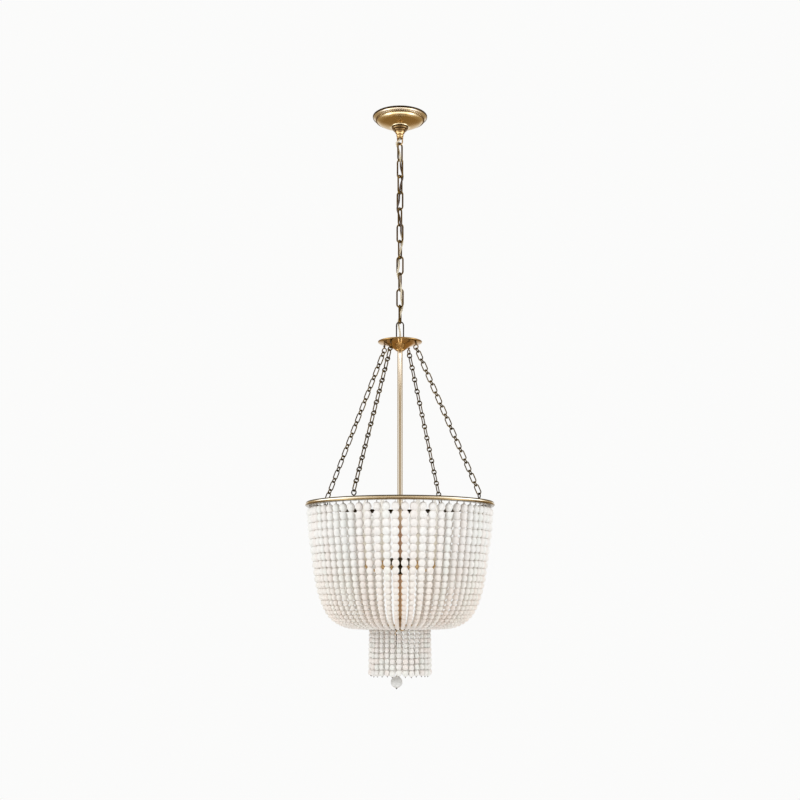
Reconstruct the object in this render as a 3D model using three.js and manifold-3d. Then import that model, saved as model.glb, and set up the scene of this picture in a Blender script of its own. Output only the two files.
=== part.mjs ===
// Beaded chandelier: canopy, woven chain and cord, crown, hoop, bead bowl, lamp cluster and fringe.
// Millimetres, +Z up, origin on the ceiling plane above the chain.
import * as THREE from 'three';
import { mergeVertices } from 'three/addons/utils/BufferGeometryUtils.js';
import Module from 'manifold-3d';

const wasm = await Module();
wasm.setup();

// Clearances
const seat = 0.3;
const runClear = 0.6;
const cordClear = 0.7;
const capClear = 1.1;
const overlap = 0.8;
const overrun = 2;

// Ceiling crossbar and its screws
const barEnd = 3.7;
const barWidth = 20;
const barThickness = 3;
const screwSpacing = 82.6;
const screwRadius = 2.1;
const screwHeadRadius = 4;
const screwHeadHeight = 2.4;
const slotLength = 14;

// Threaded nipple
const nippleRadius = 5;
const nippleBoreRadius = 3.4;
const nippleReach = 12;

// Canopy
const canopyRadius = 72;
const canopyDepth = 29;
const canopyWall = 1.5;
const canopyNeckRadius = 24;
const canopyLip = 3;
const ropeThickness = 2;

// Screw collar under the canopy
const collarRadius = 21.5;
const collarWaistRadius = 17;
const collarFlange = 5.5;
const collarHeight = 9.4;

// Loop body that the nipple and the collar screw onto, and its loop
const loopBodyRadius = 13;
const loopBodyRise = 8;
const loopBodyNeckRadius = 7;
const loopBodyFootRadius = 8.6;
const loopBodyLength = 20;
const loopBodyBand = 4;
const loopBodyWall = 1.2;
const loopWire = 3.5;
const loopWidth = 17;
const loopReach = 17.5;

// Upper chain
const linkCount = 11;
const linkPitch = 42.9;
const linkWidth = 21;
const linkWire = 4.4;

// Supply cord
const cordRadius = 2.4;
const cordJointGap = 2;

// Crown loop and crown disc
const crownLoopWidth = 22;
const crownLoopHeight = 50.6;
const crownBowWire = 3.4;
const crownWasherRadius = 14;
const crownWasherHeight = 4;
const crownRadius = 58.6;
const crownPlateDepth = 6.5;
const crownNeckDepth = 28.5;
const crownNeckRadius = 10;
const crownBoreRadius = 8;
const crownBoreDepth = 14;

// Suspension chains and the eyes at both ends
const chainCount = 4;
const chainTurn = -29.5;
const chainPairs = 13;
const chainWire = 3.2;
const chainLongWidth = 15;
const chainRoundWidth = 16.1;
const chainFuse = 0.5;
const eyeRadius = 8;
const crownEyeInset = 10.6;
const crownEyeDrop = 22.5;
const hoopEyeInset = 3;
const hoopEyeRise = 9.4;
const suspensionDrop = 398;

// Hoop
const hoopRadius = 250;
const hoopWidth = 21;
const hoopHeight = 10.6;
const hoopWall = 2;
const hoopSegments = 48;

// Bead bowl
const panelCount = 8;
const strandsPerPanel = 8;
const strandInset = 12;
const bowlDepth = 316.4;
const topBeadRadius = 10;
const endBeadRadius = 3.9;
const strandWireRadius = 1.6;
const wireLength = 5;
const bandWidth = 5;
const bandHeight = 2;

// Centre rod
const rodRadius = 6.9;
const rodBoreRadius = 4.6;

// Lamp cluster
const lampCount = 6;
const lampCircle = 92;
const hubDrop = 134;
const hubRadius = 27;
const hubHeight = 45;
const armRadius = 3.4;
const armDip = 16;
const panRadius = 20;
const panHeight = 11;
const panCupRadius = 15;
const panRim = 1.5;
const panStemRadius = 6;
const sleeveRadius = 12.5;
const sleeveWall = 1.4;
const sleeveHeight = 70;
const bulbRadius = 17.5;
const bulbHeight = 95;
const bulbCapDepth = 24;

// Lower ring with its spokes, and the cap under it
const lowerRingRadius = 80;
const lowerRingWidth = 6;
const lowerRingHeight = 8;
const spokeCount = 4;
const spokeWidth = 6;
const spokeHeight = 4;
const lowerHubRadius = 12;
const capRadius = 14;
const capHeight = 8;
const rodFoot = 4;

// Fringe
const fringePanels = 6;
const fringeStrandsPerPanel = 5;
const fringeTurn = 4;
const fringeLength = 126;
const fringeTopRadius = 5;
const fringeBeadRadius = 7;
const fringePinRadius = 1.2;
const fringePinLength = 4;
const fringeSwingGap = 1.4;
const fringeBandWidth = 3;
const fringeBandHeight = 1.6;

// Finial
const finialOffset = 9;
const finialWire = 1.8;
const finialEyeRadius = 5;
const finialLinkLength = 34;
const finialLinkWidth = 8;
const finialBallRadius = 15.5;
const finialDropLength = 95.5;
const finialStemRadius = 1.4;
const finialTipLength = 4.6;
const finialTipRadius = 2.2;

// Outlines as shares of the sizes that they follow
const canopyOuterShares = [[0.8, 0.53], [0.67, 0.71], [0.53, 0.83], [0.4, 0.91]];
const canopyInnerShares = [[0.53, 0.83], [0.8, 0.53], [0.93, 0.25]];
const ropeShares = [0.861, 0.36];
const loopBodyShares = [[1, 0], [1, 0.22], [0.85, 0.34], [0.3, 0.48], [0.5, 0.62], [0, 0.78]];
const crownShares = [[0.86, 0.1], [0.49, 0.18], [0.34, 0.45], [0.2, 0.66], [0.12, 0.8], [0, 1]];
const strandShares = [[1, 0.03], [0.96, 0.28], [0.88, 0.58], [0.735, 0.835], [0.47, 0.98], [0, 1]];
const fringeShares = [[0, 0], [0.75, 0.45], [1, 0.97]];
const hubShares = [[1, 0.1], [1, 0.42], [0.62, 0.66], [0.42, 1]];
const armShare = 0.4;
const bulbShares = [[0.72, 0], [1, 0.22], [0.9, 0.5], [0.5, 0.8]];
const armDipShares = [[0.3, 0.55], [0.58, 1], [0.85, 0.7]];

// How far the hanging chain is twisted, as shares of a full turn: canopy loop, first link, last link
const loopTurnShare = -0.0556;
const firstLinkTurnShare = -0.1111;
const lastLinkTurnShare = -0.0389;

// Places worked out from the sizes above, from the ceiling down
const fullTurn = 2 * Math.PI;
const upward = new THREE.Vector3(0, 0, 1);
const screwPlace = screwSpacing / 2;
const barLength = screwSpacing + slotLength + 2 * barEnd;
const collarTop = -canopyDepth - seat;
const collarBoreRadius = loopBodyRadius + runClear;
const canopyHoleRadius = collarBoreRadius + runClear;
const loopBodyTop = -canopyDepth + loopBodyRise;
const loopBodyShoulder = collarTop - collarHeight - seat;
const loopBodyFoot = loopBodyShoulder - loopBodyLength;
const nippleHoleRadius = nippleRadius + seat;
const cordBoreRadius = loopBodyNeckRadius - loopBodyWall;
const loopCentreRadius = (loopWidth - loopWire) / 2;
const loopBottomWire = loopBodyFoot - loopReach + loopWire / 2;
const linkWireRadius = linkWire / 2;
const cordCornerOffset = linkWireRadius + cordRadius + cordClear;
const cordMiddleOffset = linkWidth / 2 - linkWire - cordRadius - cordClear;
const linkLength = linkPitch + 2 * linkWire + seat;
const firstLinkCentre = loopBottomWire + loopWire / 2 + seat - (linkLength / 2 - linkWire);
const lastLinkCentre = firstLinkCentre - (linkCount - 1) * linkPitch;
const firstLinkBottomWire = firstLinkCentre - linkLength / 2 + linkWireRadius;
const crownBowRadius = crownBowWire / 2;
const crownLoopWire = lastLinkCentre - linkLength / 2 + linkWire + seat + crownBowRadius;
const crownTop = crownLoopWire + crownBowRadius - crownLoopHeight - seat;
const crownFoot = crownTop - crownNeckDepth;
const crownEyeCircle = crownRadius - crownEyeInset;
const crownEyeHeight = crownTop - crownEyeDrop;
const hoopEyeHeight = crownEyeHeight - suspensionDrop;
const eyeWireRadius = eyeRadius - chainWire / 2;
const hoopInnerRadius = hoopRadius - hoopWidth;
const hoopEyeCircle = hoopInnerRadius + hoopEyeInset;
const chainSpan = new THREE.Vector3(hoopEyeCircle, 0, hoopEyeHeight + eyeWireRadius)
  .sub(new THREE.Vector3(crownEyeCircle, 0, crownEyeHeight));
const chainTilt = Math.atan2(-chainSpan.x, -chainSpan.z);
const hoopTop = hoopEyeHeight - hoopEyeRise;
const hoopBottom = hoopTop - hoopHeight;
const strandCircle = hoopRadius - strandInset;
const rodTop = crownTop - crownBoreDepth - seat;
const rodHoleRadius = rodRadius + seat;
const bandTop = hoopBottom - seat;
const strandTop = bandTop - bandHeight;
const lowerRingMiddle = hoopBottom - bowlDepth;
const lowerRingTop = lowerRingMiddle + lowerRingHeight / 2;
const lowerRingBottom = lowerRingMiddle - lowerRingHeight / 2;
const capTop = lowerRingBottom - seat;
const rodBottom = capTop - rodFoot;
const hubTop = hoopBottom - hubDrop;
const armHeight = hubTop - armShare * hubHeight;
const panTop = armHeight + panHeight / 2;
const sleeveBottom = panTop + seat;
const sleeveTop = sleeveBottom + sleeveHeight;
const bulbFoot = sleeveTop + seat;
const bulbCapRadius = sleeveRadius - sleeveWall - capClear;
const fringeCircle = lowerRingRadius - lowerRingWidth / 2;
const fringeBandTop = lowerRingBottom - fringeSwingGap;
const finialEyeWire = capTop - capHeight - overlap - finialEyeRadius;
const finialEyeBottom = finialEyeWire - finialEyeRadius + finialWire;
const finialLinkCentre = finialEyeBottom + seat - (finialLinkLength / 2 - finialWire);
const finialLinkBottom = finialLinkCentre - finialLinkLength / 2 + finialWire;

// Finishes
function finish(color, roughness, metalness) {
  return new THREE.MeshStandardMaterial({ color, roughness, metalness });
}
const antiqueBrass = () => finish(0x9a6f3c, 0.38, 1);
const darkBronze = () => finish(0x5d452b, 0.45, 1);
const satinSteel = () => finish(0x9c9a94, 0.5, 1);
const champagneCord = () => finish(0xd8c7a0, 0.55, 0);
const ivoryBead = () => finish(0xece6da, 0.6, 0);
const sleeveCream = () => finish(0xf1ead8, 0.6, 0);
const bulbGlass = () => finish(0xf6efe0, 0.25, 0);
const frostedBall = () => finish(0xd2d2ce, 0.5, 0);

// Solids
function toSolid(geometry) {
  const bare = geometry.index ? geometry.clone() : geometry;
  bare.deleteAttribute('normal');
  bare.deleteAttribute('uv');
  const merged = mergeVertices(bare);
  return new wasm.Manifold(new wasm.Mesh({
    numProp: 3,
    vertProperties: new Float32Array(merged.attributes.position.array),
    triVerts: new Uint32Array(merged.index.array),
  }));
}

function toGeometry(solid) {
  const mesh = solid.getMesh();
  const geometry = new THREE.BufferGeometry();
  geometry.setAttribute('position', new THREE.BufferAttribute(mesh.vertProperties, mesh.numProp));
  geometry.setIndex(new THREE.BufferAttribute(mesh.triVerts, 1));
  return geometry;
}

function join(geometries) {
  return toGeometry(geometries.map(toSolid).reduce((whole, piece) => whole.add(piece)));
}

function cut(geometry, cutters) {
  const whole = toSolid(geometry);
  return toGeometry(cutters.map(toSolid).reduce((rest, piece) => rest.subtract(piece), whole));
}

// A profile of [radius, height] turned about Z. It closes on itself, or starts and ends on the axis.
function turned(profile, segments) {
  const ring = profile.map(([radius, height]) => new THREE.Vector2(radius, height));
  const onAxis = profile[0][0] === 0;
  const points = onAxis ? ring : [...ring, ring[0].clone()];
  return new THREE.LatheGeometry(points, segments).rotateX(Math.PI / 2);
}

// A tube with rings of the given radii around a list of points, closed at both ends
function tapered(points, radii, sides) {
  const rings = points.map((point, i) => {
    const before = points[Math.max(i - 1, 0)];
    const after = points[Math.min(i + 1, points.length - 1)];
    const along = after.clone().sub(before).normalize();
    const across = new THREE.Vector3(0, 1, 0);
    const outward = new THREE.Vector3().crossVectors(along, across).normalize();
    return Array.from({ length: sides }, (_, k) => {
      const angle = fullTurn * k / sides;
      return point.clone()
        .addScaledVector(outward, radii[i] * Math.cos(angle))
        .addScaledVector(across, radii[i] * Math.sin(angle));
    });
  });
  return skin(rings, sides);
}

// Rings of points joined by faces, with a flat end on each side
function skin(rings, sides) {
  const position = rings.flat().flatMap((p) => [p.x, p.y, p.z]);
  const index = [];
  for (let i = 0; i < rings.length - 1; i += 1) {
    for (let k = 0; k < sides; k += 1) {
      const a = i * sides + k;
      const b = i * sides + (k + 1) % sides;
      index.push(a, a + sides, b, b, a + sides, b + sides);
    }
  }
  const last = (rings.length - 1) * sides;
  for (let k = 1; k < sides - 1; k += 1) {
    index.push(0, k, k + 1);
    index.push(last, last + k + 1, last + k);
  }
  const geometry = new THREE.BufferGeometry();
  geometry.setAttribute('position', new THREE.Float32BufferAttribute(position, 3));
  geometry.setIndex(index);
  return geometry;
}

// A round bar carried along a smooth curve through points
function bar(points, radius, sides, steps) {
  const outline = new THREE.Shape(Array.from({ length: sides }, (_, k) => {
    const angle = fullTurn * k / sides;
    return new THREE.Vector2(radius * Math.cos(angle), radius * Math.sin(angle));
  }));
  const path = new THREE.CatmullRomCurve3(points, false, 'centripetal');
  return new THREE.ExtrudeGeometry(outline, { steps, bevelEnabled: false, extrudePath: path });
}

// A link: a ring in the XZ plane, drawn out along Z to its length
function linkShape(length, width, wire, sides, segments) {
  const radius = (width - wire) / 2;
  const ring = new THREE.TorusGeometry(radius, wire / 2, sides, segments);
  ring.rotateZ(Math.PI / segments);
  ring.rotateX(Math.PI / 2);
  const places = ring.attributes.position;
  const half = (length - width) / 2;
  for (let i = 0; i < places.count; i += 1) {
    const z = places.getZ(i);
    places.setZ(i, z + Math.sign(z) * half);
  }
  return ring;
}

function roundEye(radius, wire) {
  return new THREE.TorusGeometry(radius - wire / 2, wire / 2, 4, 8)
    .rotateX(Math.PI / 2);
}

// An arc of flat band about Z, centred on the azimuth 0
function arcBand(radius, width, top, height, angle, segments) {
  const rings = Array.from({ length: segments + 1 }, (_, i) => {
    const turn = angle * (i / segments - 1 / 2);
    const at = (r, z) => new THREE.Vector3(r * Math.cos(turn), r * Math.sin(turn), z);
    const inner = radius - width / 2;
    const outer = radius + width / 2;
    return [at(inner, top), at(inner, top - height), at(outer, top - height), at(outer, top)];
  });
  return skin(rings, 4);
}

function box(width, depth, height) {
  return new THREE.BoxGeometry(width, depth, height);
}

const chandelier = new THREE.Group();

function add(name, geometry, material, turn = 0, parent = chandelier) {
  const mesh = new THREE.Mesh(geometry, material);
  mesh.name = name;
  mesh.rotation.z = turn;
  parent.add(mesh);
  return mesh;
}

// Crossbar with a centre hole and two screw slots
function crossbar() {
  const plate = box(barLength, barWidth, barThickness).translate(0, 0, -barThickness / 2);
  const cutDepth = barThickness + overrun;
  const hole = new THREE.CylinderGeometry(nippleHoleRadius, nippleHoleRadius, cutDepth, 16)
    .rotateX(Math.PI / 2).translate(0, 0, -barThickness / 2);
  const slotWidth = 2 * (screwRadius + seat);
  const slots = [-1, 1].map((side) => box(slotLength, slotWidth, cutDepth)
    .translate(side * screwPlace, 0, -barThickness / 2));
  return cut(plate, [hole, ...slots]);
}

function crossbarScrew() {
  const headTop = -barThickness - seat;
  return turned([
    [0, -seat], [screwRadius, -seat], [screwRadius, headTop], [screwHeadRadius, headTop],
    [screwHeadRadius, headTop - screwHeadHeight / 2], [0, headTop - screwHeadHeight],
  ].reverse(), 8);
}

// Hollow threaded tube from the crossbar into the loop body
function nipple() {
  const bottom = loopBodyTop - nippleReach + seat;
  return turned([
    [nippleBoreRadius, -seat], [nippleBoreRadius, bottom], [nippleRadius, bottom], [nippleRadius, -seat],
  ], 16);
}

// Spun dish, open at the ceiling, with a cove, a rope moulding and a flat neck
function canopy() {
  const drop = (share) => -share * canopyDepth;
  const outer = canopyOuterShares.map(([r, d]) => [r * canopyRadius, drop(d)]);
  const inner = canopyInnerShares.map(([r, d]) => [r * canopyRadius - canopyWall, drop(d) + canopyWall]);
  const [ropeRadius, ropeHeight] = [ropeShares[0] * canopyRadius, drop(ropeShares[1])];
  const rope = [
    [ropeRadius + ropeThickness, ropeHeight + ropeThickness],
    [ropeRadius + ropeThickness, ropeHeight - ropeThickness / 2],
    [ropeRadius, ropeHeight - 3 * ropeThickness / 2],
    [ropeRadius - ropeThickness, ropeHeight - ropeThickness],
  ];
  return turned([
    [canopyRadius, 0], [canopyRadius, -canopyLip], ...rope, ...outer,
    [canopyNeckRadius, -canopyDepth], [canopyHoleRadius, -canopyDepth],
    [canopyHoleRadius, canopyWall - canopyDepth], [canopyNeckRadius - canopyWall, canopyWall - canopyDepth],
    ...inner, [canopyRadius - canopyWall, -canopyLip], [canopyRadius - canopyWall, 0],
  ].reverse(), 24);
}

function screwCollar() {
  const bottom = collarTop - collarHeight;
  return turned([
    [collarBoreRadius, collarTop], [collarRadius, collarTop], [collarRadius, collarTop - collarFlange],
    [collarWaistRadius, collarTop - collarFlange - seat],
    [collarWaistRadius, bottom], [collarBoreRadius, bottom],
  ].reverse(), 18);
}

// Stepped body with its U-shaped loop, bored for the cord
function canopyLoop() {
  const neckSpan = loopBodyRadius - loopBodyNeckRadius;
  const steps = loopBodyShares.map(([r, d]) => [
    loopBodyNeckRadius + r * neckSpan, loopBodyShoulder - d * loopBodyLength]);
  const footTop = loopBodyFoot + loopBodyBand;
  const boreTop = loopBodyTop - nippleReach;
  const body = turned([
    [nippleHoleRadius, loopBodyTop], [loopBodyRadius, loopBodyTop],
    ...steps, [loopBodyFootRadius, footTop], [loopBodyFootRadius, loopBodyFoot],
    [cordBoreRadius, loopBodyFoot], [cordBoreRadius, boreTop], [nippleHoleRadius, boreTop],
  ].reverse(), 16);
  const legTop = loopBodyFoot + overlap;
  const arcTop = loopBottomWire + loopCentreRadius;
  return join([body, uBar(loopCentreRadius, legTop, arcTop, loopWire / 2)]).rotateZ(twist(0));
}

// A bar bent to a U in the XZ plane: down one leg, round below arcTop and up the other
function uBar(radius, legTop, arcTop, wireRadius) {
  const arc = [0, 1, 2, 3, 4, 5, 6].map((i) => {
    const angle = Math.PI * (1 + i / 6);
    return new THREE.Vector3(radius * Math.cos(angle), 0, arcTop + radius * Math.sin(angle));
  });
  const leg = (side) => new THREE.Vector3(side * radius, 0, legTop);
  return bar([leg(-1), ...arc, leg(1)], wireRadius, 6, 10);
}

// How far the hanging chain has twisted at a link. Number 0 is the canopy loop, and the one
// after the last link is the crown loop, which faces the front.
function twist(number) {
  if (number > linkCount) {
    return 0;
  }
  const share = (number - 1) / (linkCount - 1);
  return fullTurn * (number === 0 ? loopTurnShare
    : firstLinkTurnShare + share * (lastLinkTurnShare - firstLinkTurnShare));
}

// A link of the upper chain: odd ones stand across the front, even ones face it
function upperLink(number) {
  const centre = firstLinkCentre - (number - 1) * linkPitch;
  const across = number % 2 === 1 ? Math.PI / 2 : 0;
  return linkShape(linkLength, linkWidth, linkWire, 4, 10)
    .rotateZ(across + twist(number)).translate(0, 0, centre);
}

// The cord's route: it turns a quarter round the twisting chain for each link that it passes through.
// Between two links it keeps the same distance from both wires, and in a link's middle it crosses the link.
function cordPoint(halfLinks) {
  const above = Math.floor(halfLinks / 2);
  const below = Math.ceil((halfLinks + 1) / 2);
  const link = above + 1;
  const atContact = halfLinks % 2 === 0;
  const turn = atContact ? (twist(above) + twist(below)) / 2 : twist(link);
  const halfAngle = Math.PI / 4 + (twist(below) - twist(above)) / 2;
  const angle = Math.PI * (-3 / 4 + halfLinks / 4) + turn;
  const reach = atContact ? cordCornerOffset / Math.sin(halfAngle) : cordMiddleOffset;
  const z = firstLinkCentre + linkPitch / 2 - halfLinks * linkPitch / 2;
  return new THREE.Vector3(reach * Math.cos(angle), reach * Math.sin(angle), z);
}

function upperCord() {
  const corner = cordPoint(0);
  const half = cordPoint(1);
  const aside = cordPoint(2);
  const mouth = loopBodyFoot;
  const end = new THREE.Vector3(aside.x, aside.y, firstLinkBottomWire + cordJointGap / 2);
  const loopFront = new THREE.Vector3(-cordRadius / 2, -cordCornerOffset, mouth - loopWire * 2)
    .applyAxisAngle(upward, twist(0));
  const points = [
    new THREE.Vector3(0, 0, mouth + cordRadius), new THREE.Vector3(0, 0, mouth),
    loopFront, corner, half, end,
  ];
  return bar(points, cordRadius, 8, 10);
}

function lowerCord() {
  const first = cordPoint(2);
  const start = new THREE.Vector3(first.x, first.y, firstLinkBottomWire - cordJointGap / 2);
  const points = [start];
  for (let half = 3; half <= 2 * linkCount; half += 1) {
    points.push(cordPoint(half));
  }
  points.push(new THREE.Vector3(0, 0, crownTop + crownWasherHeight + 2 * crownBoreRadius));
  points.push(new THREE.Vector3(0, 0, crownTop - cordRadius));
  return bar(points, cordRadius, 8, 44);
}

// Tall inverted U on a washer that the cord goes down through
function crownLoop() {
  const radius = (crownLoopWidth - crownBowWire) / 2;
  const washerBottom = crownTop + seat;
  const washerTop = washerBottom + crownWasherHeight;
  const legEnd = washerTop - overlap;
  const washer = turned([
    [crownBoreRadius, washerTop], [crownBoreRadius, washerBottom],
    [crownWasherRadius, washerBottom], [crownWasherRadius, washerTop],
  ], 16);
  const bow = uBar(radius, -legEnd, -(crownLoopWire - radius), crownBowRadius).rotateX(Math.PI);
  return join([bow, washer]);
}

// Crown disc: domed plate over a trumpet neck, with a screw eye for each chain
function crownDisc() {
  const rimHeight = crownTop - crownPlateDepth / 2;
  const neckSpan = crownRadius - crownNeckRadius;
  const trumpet = crownShares.map(([r, d]) => [
    crownNeckRadius + r * neckSpan, crownTop - crownPlateDepth - d * (crownNeckDepth - crownPlateDepth)]);
  const boreBottom = crownTop - crownBoreDepth + seat;
  const disc = turned([
    [crownBoreRadius, crownTop], [crownEyeCircle, crownTop - crownPlateDepth / 4], [crownRadius, rimHeight],
    [crownRadius, crownTop - crownPlateDepth], ...trumpet,
    [rodHoleRadius, crownFoot], [rodHoleRadius, boreBottom], [crownBoreRadius, boreBottom],
  ].reverse(), 20);
  const stemTop = crownTop - crownPlateDepth / 2;
  const stemEnd = crownEyeHeight + eyeRadius - overlap;
  const stem = new THREE.CylinderGeometry(chainWire / 2, chainWire / 2, stemTop - stemEnd, 6)
    .rotateX(Math.PI / 2).translate(crownEyeCircle, 0, (stemTop + stemEnd) / 2);
  const eye = roundEye(eyeRadius, chainWire).rotateY(chainTilt)
    .translate(crownEyeCircle, 0, crownEyeHeight);
  const screwEye = toGeometry(toSolid(stem).add(toSolid(eye)));
  return join([disc, ...chainTurns().map((turn) => screwEye.clone().rotateZ(turn))]);
}

function chainTurns() {
  const first = THREE.MathUtils.degToRad(chainTurn);
  return Array.from({ length: chainCount }, (_, i) => first + i * fullTurn / chainCount);
}

// One suspension chain at azimuth 0, from wire to wire: small round links across the slope,
// long oval links in line with it, each wire sunk a little into the next.
// The first round link is open, to hang in its eye, and the others are filled.
function suspensionChain() {
  const wireReach = chainWire / 2 + seat;
  const pairPitch = (chainSpan.length() - eyeWireRadius + 2 * wireReach) / chainPairs;
  const roundInner = chainRoundWidth - 2 * chainWire;
  const longInner = pairPitch - roundInner - chainFuse;
  const pieces = [];
  for (let i = 0; i < chainPairs; i += 1) {
    const start = wireReach - eyeWireRadius - i * pairPitch;
    const sink = i === 0 ? 0 : chainFuse;
    const roundCentre = start - (roundInner + sink) / 2;
    const longCentre = start - pairPitch + longInner / 2;
    const round = i === 0
      ? linkShape(chainRoundWidth, chainRoundWidth, chainWire, 4, 6).rotateZ(Math.PI / 2)
      : box(chainWire, chainRoundWidth, chainRoundWidth - sink);
    pieces.push(round.translate(0, 0, roundCentre));
    pieces.push(linkShape(longInner + 2 * chainWire, chainLongWidth, chainWire, 3, 6)
      .translate(0, 0, longCentre));
  }
  return join(pieces).rotateY(chainTilt).translate(crownEyeCircle, 0, crownEyeHeight);
}

// Hoop of pressed band, open below, with a staple for each chain
function hoop() {
  const middle = hoopTop - hoopHeight / 2;
  const bulge = hoopWall / 2;
  const inner = hoopInnerRadius + hoopWall;
  const outer = hoopRadius - hoopWall;
  const underside = hoopTop - hoopWall;
  const shelf = hoopBottom + hoopWall;
  const band = turned([
    [hoopInnerRadius, hoopTop], [outer, hoopTop],
    [hoopRadius, middle + bulge], [hoopRadius, middle - bulge],
    [outer, hoopBottom], [hoopInnerRadius, hoopBottom], [hoopInnerRadius, shelf],
    [outer - hoopWall, shelf], [outer - hoopWall, underside], [hoopInnerRadius, underside],
  ].reverse(), hoopSegments);
  const staple = roundEye(eyeRadius, chainWire).rotateZ(Math.PI / 2)
    .translate(hoopEyeCircle, 0, hoopEyeHeight);
  const footHeight = hoopEyeHeight - eyeRadius - hoopTop + chainWire;
  const foot = box(chainWire, eyeRadius, footHeight + overlap)
    .translate(hoopEyeCircle, 0, hoopTop + (footHeight - overlap) / 2);
  const fixing = toGeometry(toSolid(staple).add(toSolid(foot)));
  return join([band, ...chainTurns().map((turn) => fixing.clone().rotateZ(turn))]);
}

// One strand of the bowl in the XZ plane, as thick as its beads, on a short wire
function strand() {
  const endCircle = lowerRingRadius + seat;
  const path = [new THREE.Vector3(strandCircle, 0, strandTop + overlap)];
  const radii = [strandWireRadius];
  strandShares.forEach(([r, d], i) => {
    const share = i / (strandShares.length - 1);
    const height = strandTop - wireLength - d * (strandTop - wireLength - lowerRingMiddle);
    path.push(new THREE.Vector3(endCircle + r * (strandCircle - endCircle), 0, height));
    radii.push(topBeadRadius + (endBeadRadius - topBeadRadius) * share ** 2);
  });
  return tapered(path, radii, 4);
}

function bowlPanel() {
  const panelAngle = fullTurn / panelCount;
  const step = panelAngle / strandsPerPanel;
  const bandAngle = panelAngle - seat / strandCircle;
  const band = arcBand(strandCircle, bandWidth, bandTop, bandHeight, bandAngle, strandsPerPanel);
  const strands = Array.from({ length: strandsPerPanel }, (_, i) => (
    strand().rotateZ(step * (i - (strandsPerPanel - 1) / 2))));
  return join([band, ...strands]);
}

function centreRod() {
  return turned([
    [rodBoreRadius, rodTop], [rodRadius, rodTop], [rodRadius, rodBottom], [rodBoreRadius, rodBottom],
  ].reverse(), 16);
}

// Hub on the rod with an arm, a drip pan and a lamp seat for each candle
function lampCluster() {
  const hub = turned([
    [rodHoleRadius, hubTop],
    ...hubShares.map(([r, d]) => [r * hubRadius, hubTop - d * hubHeight]),
    [rodHoleRadius, hubTop - hubHeight],
  ].reverse(), 16);
  const armStart = hubRadius - overrun;
  const armSpan = lampCircle - armStart;
  const armPoints = [
    new THREE.Vector3(armStart, 0, armHeight),
    ...armDipShares.map(([r, d]) => new THREE.Vector3(armStart + r * armSpan, 0, armHeight - d * armDip)),
    new THREE.Vector3(lampCircle, 0, armHeight - panHeight / 4),
  ];
  const arm = bar(armPoints, armRadius, 5, 6);
  const panBottom = panTop - panHeight;
  const pan = turned([
    [0, panTop], [panCupRadius, panTop], [panRadius, panTop + panRim], [panRadius, panTop],
    [panCupRadius, panTop - panHeight / 2], [panStemRadius, panBottom], [0, panBottom],
  ].reverse(), 10).translate(lampCircle, 0, 0);
  const branch = toGeometry(toSolid(arm).add(toSolid(pan)));
  return join([hub, ...lampTurns().map((turn) => branch.clone().rotateZ(turn))]);
}

function lampTurns() {
  return Array.from({ length: lampCount }, (_, i) => i * fullTurn / lampCount);
}

function candleSleeve() {
  const inner = sleeveRadius - sleeveWall;
  return turned([
    [inner, sleeveBottom], [sleeveRadius, sleeveBottom], [sleeveRadius, sleeveTop], [inner, sleeveTop],
  ], 8).translate(lampCircle, 0, 0);
}

// Candle bulb: a glass drop on its screw cap
function candleBulb() {
  return turned([
    [0, bulbFoot - bulbCapDepth], [bulbCapRadius, bulbFoot - bulbCapDepth], [bulbCapRadius, bulbFoot],
    ...bulbShares.map(([r, d]) => [r * bulbRadius, bulbFoot + d * bulbHeight]),
    [0, bulbFoot + bulbHeight],
  ], 8);
}

// Ring that gathers the strands, on spokes from a hub round the rod
function lowerRing() {
  const inner = lowerRingRadius - lowerRingWidth;
  const ring = turned([
    [inner, lowerRingTop], [inner, lowerRingBottom],
    [lowerRingRadius, lowerRingBottom], [lowerRingRadius, lowerRingTop],
  ], 32);
  const hub = turned([
    [rodHoleRadius, lowerRingTop], [rodHoleRadius, lowerRingBottom],
    [lowerHubRadius, lowerRingBottom], [lowerHubRadius, lowerRingTop],
  ], 16);
  const start = lowerHubRadius - overrun;
  const end = inner + overrun;
  const spokes = Array.from({ length: spokeCount }, (_, i) => box(end - start, spokeWidth, spokeHeight)
    .translate((start + end) / 2, 0, lowerRingMiddle).rotateZ(i * fullTurn / spokeCount));
  return join([ring, hub, ...spokes]);
}

// Cap on the rod's foot, with the eye that the finial hangs from
function bottomCap() {
  const bottom = capTop - capHeight;
  const socket = rodBottom - seat;
  const cap = turned([
    [0, socket], [rodHoleRadius, socket], [rodHoleRadius, capTop], [capRadius, capTop],
    [capRadius, socket], [capRadius - overrun, bottom], [0, bottom],
  ].reverse(), 16);
  const eye = roundEye(finialEyeRadius, finialWire).translate(-finialOffset, 0, finialEyeWire);
  const start = capTop - capHeight / 2;
  const end = finialEyeWire + finialEyeRadius - finialWire / 2;
  const post = new THREE.CylinderGeometry(finialWire / 2, finialWire / 2, start - end, 6)
    .rotateX(Math.PI / 2).translate(-finialOffset, 0, (start + end) / 2);
  return join([cap, eye, post]);
}

// One short strand of the fringe with its pin
function fringeStrand() {
  const top = fringeBandTop - fringeBandHeight;
  const path = [new THREE.Vector3(fringeCircle, 0, top + overlap)];
  const radii = [fringePinRadius];
  const beads = fringeLength - fringePinLength;
  fringeShares.forEach(([thickness, down]) => {
    path.push(new THREE.Vector3(fringeCircle, 0, top - fringePinLength / 2 - down * beads));
    radii.push(fringeTopRadius + thickness * (fringeBeadRadius - fringeTopRadius));
  });
  path.push(new THREE.Vector3(fringeCircle, 0, top - fringeLength));
  radii.push(fringePinRadius);
  return tapered(path, radii, 4);
}

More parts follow.
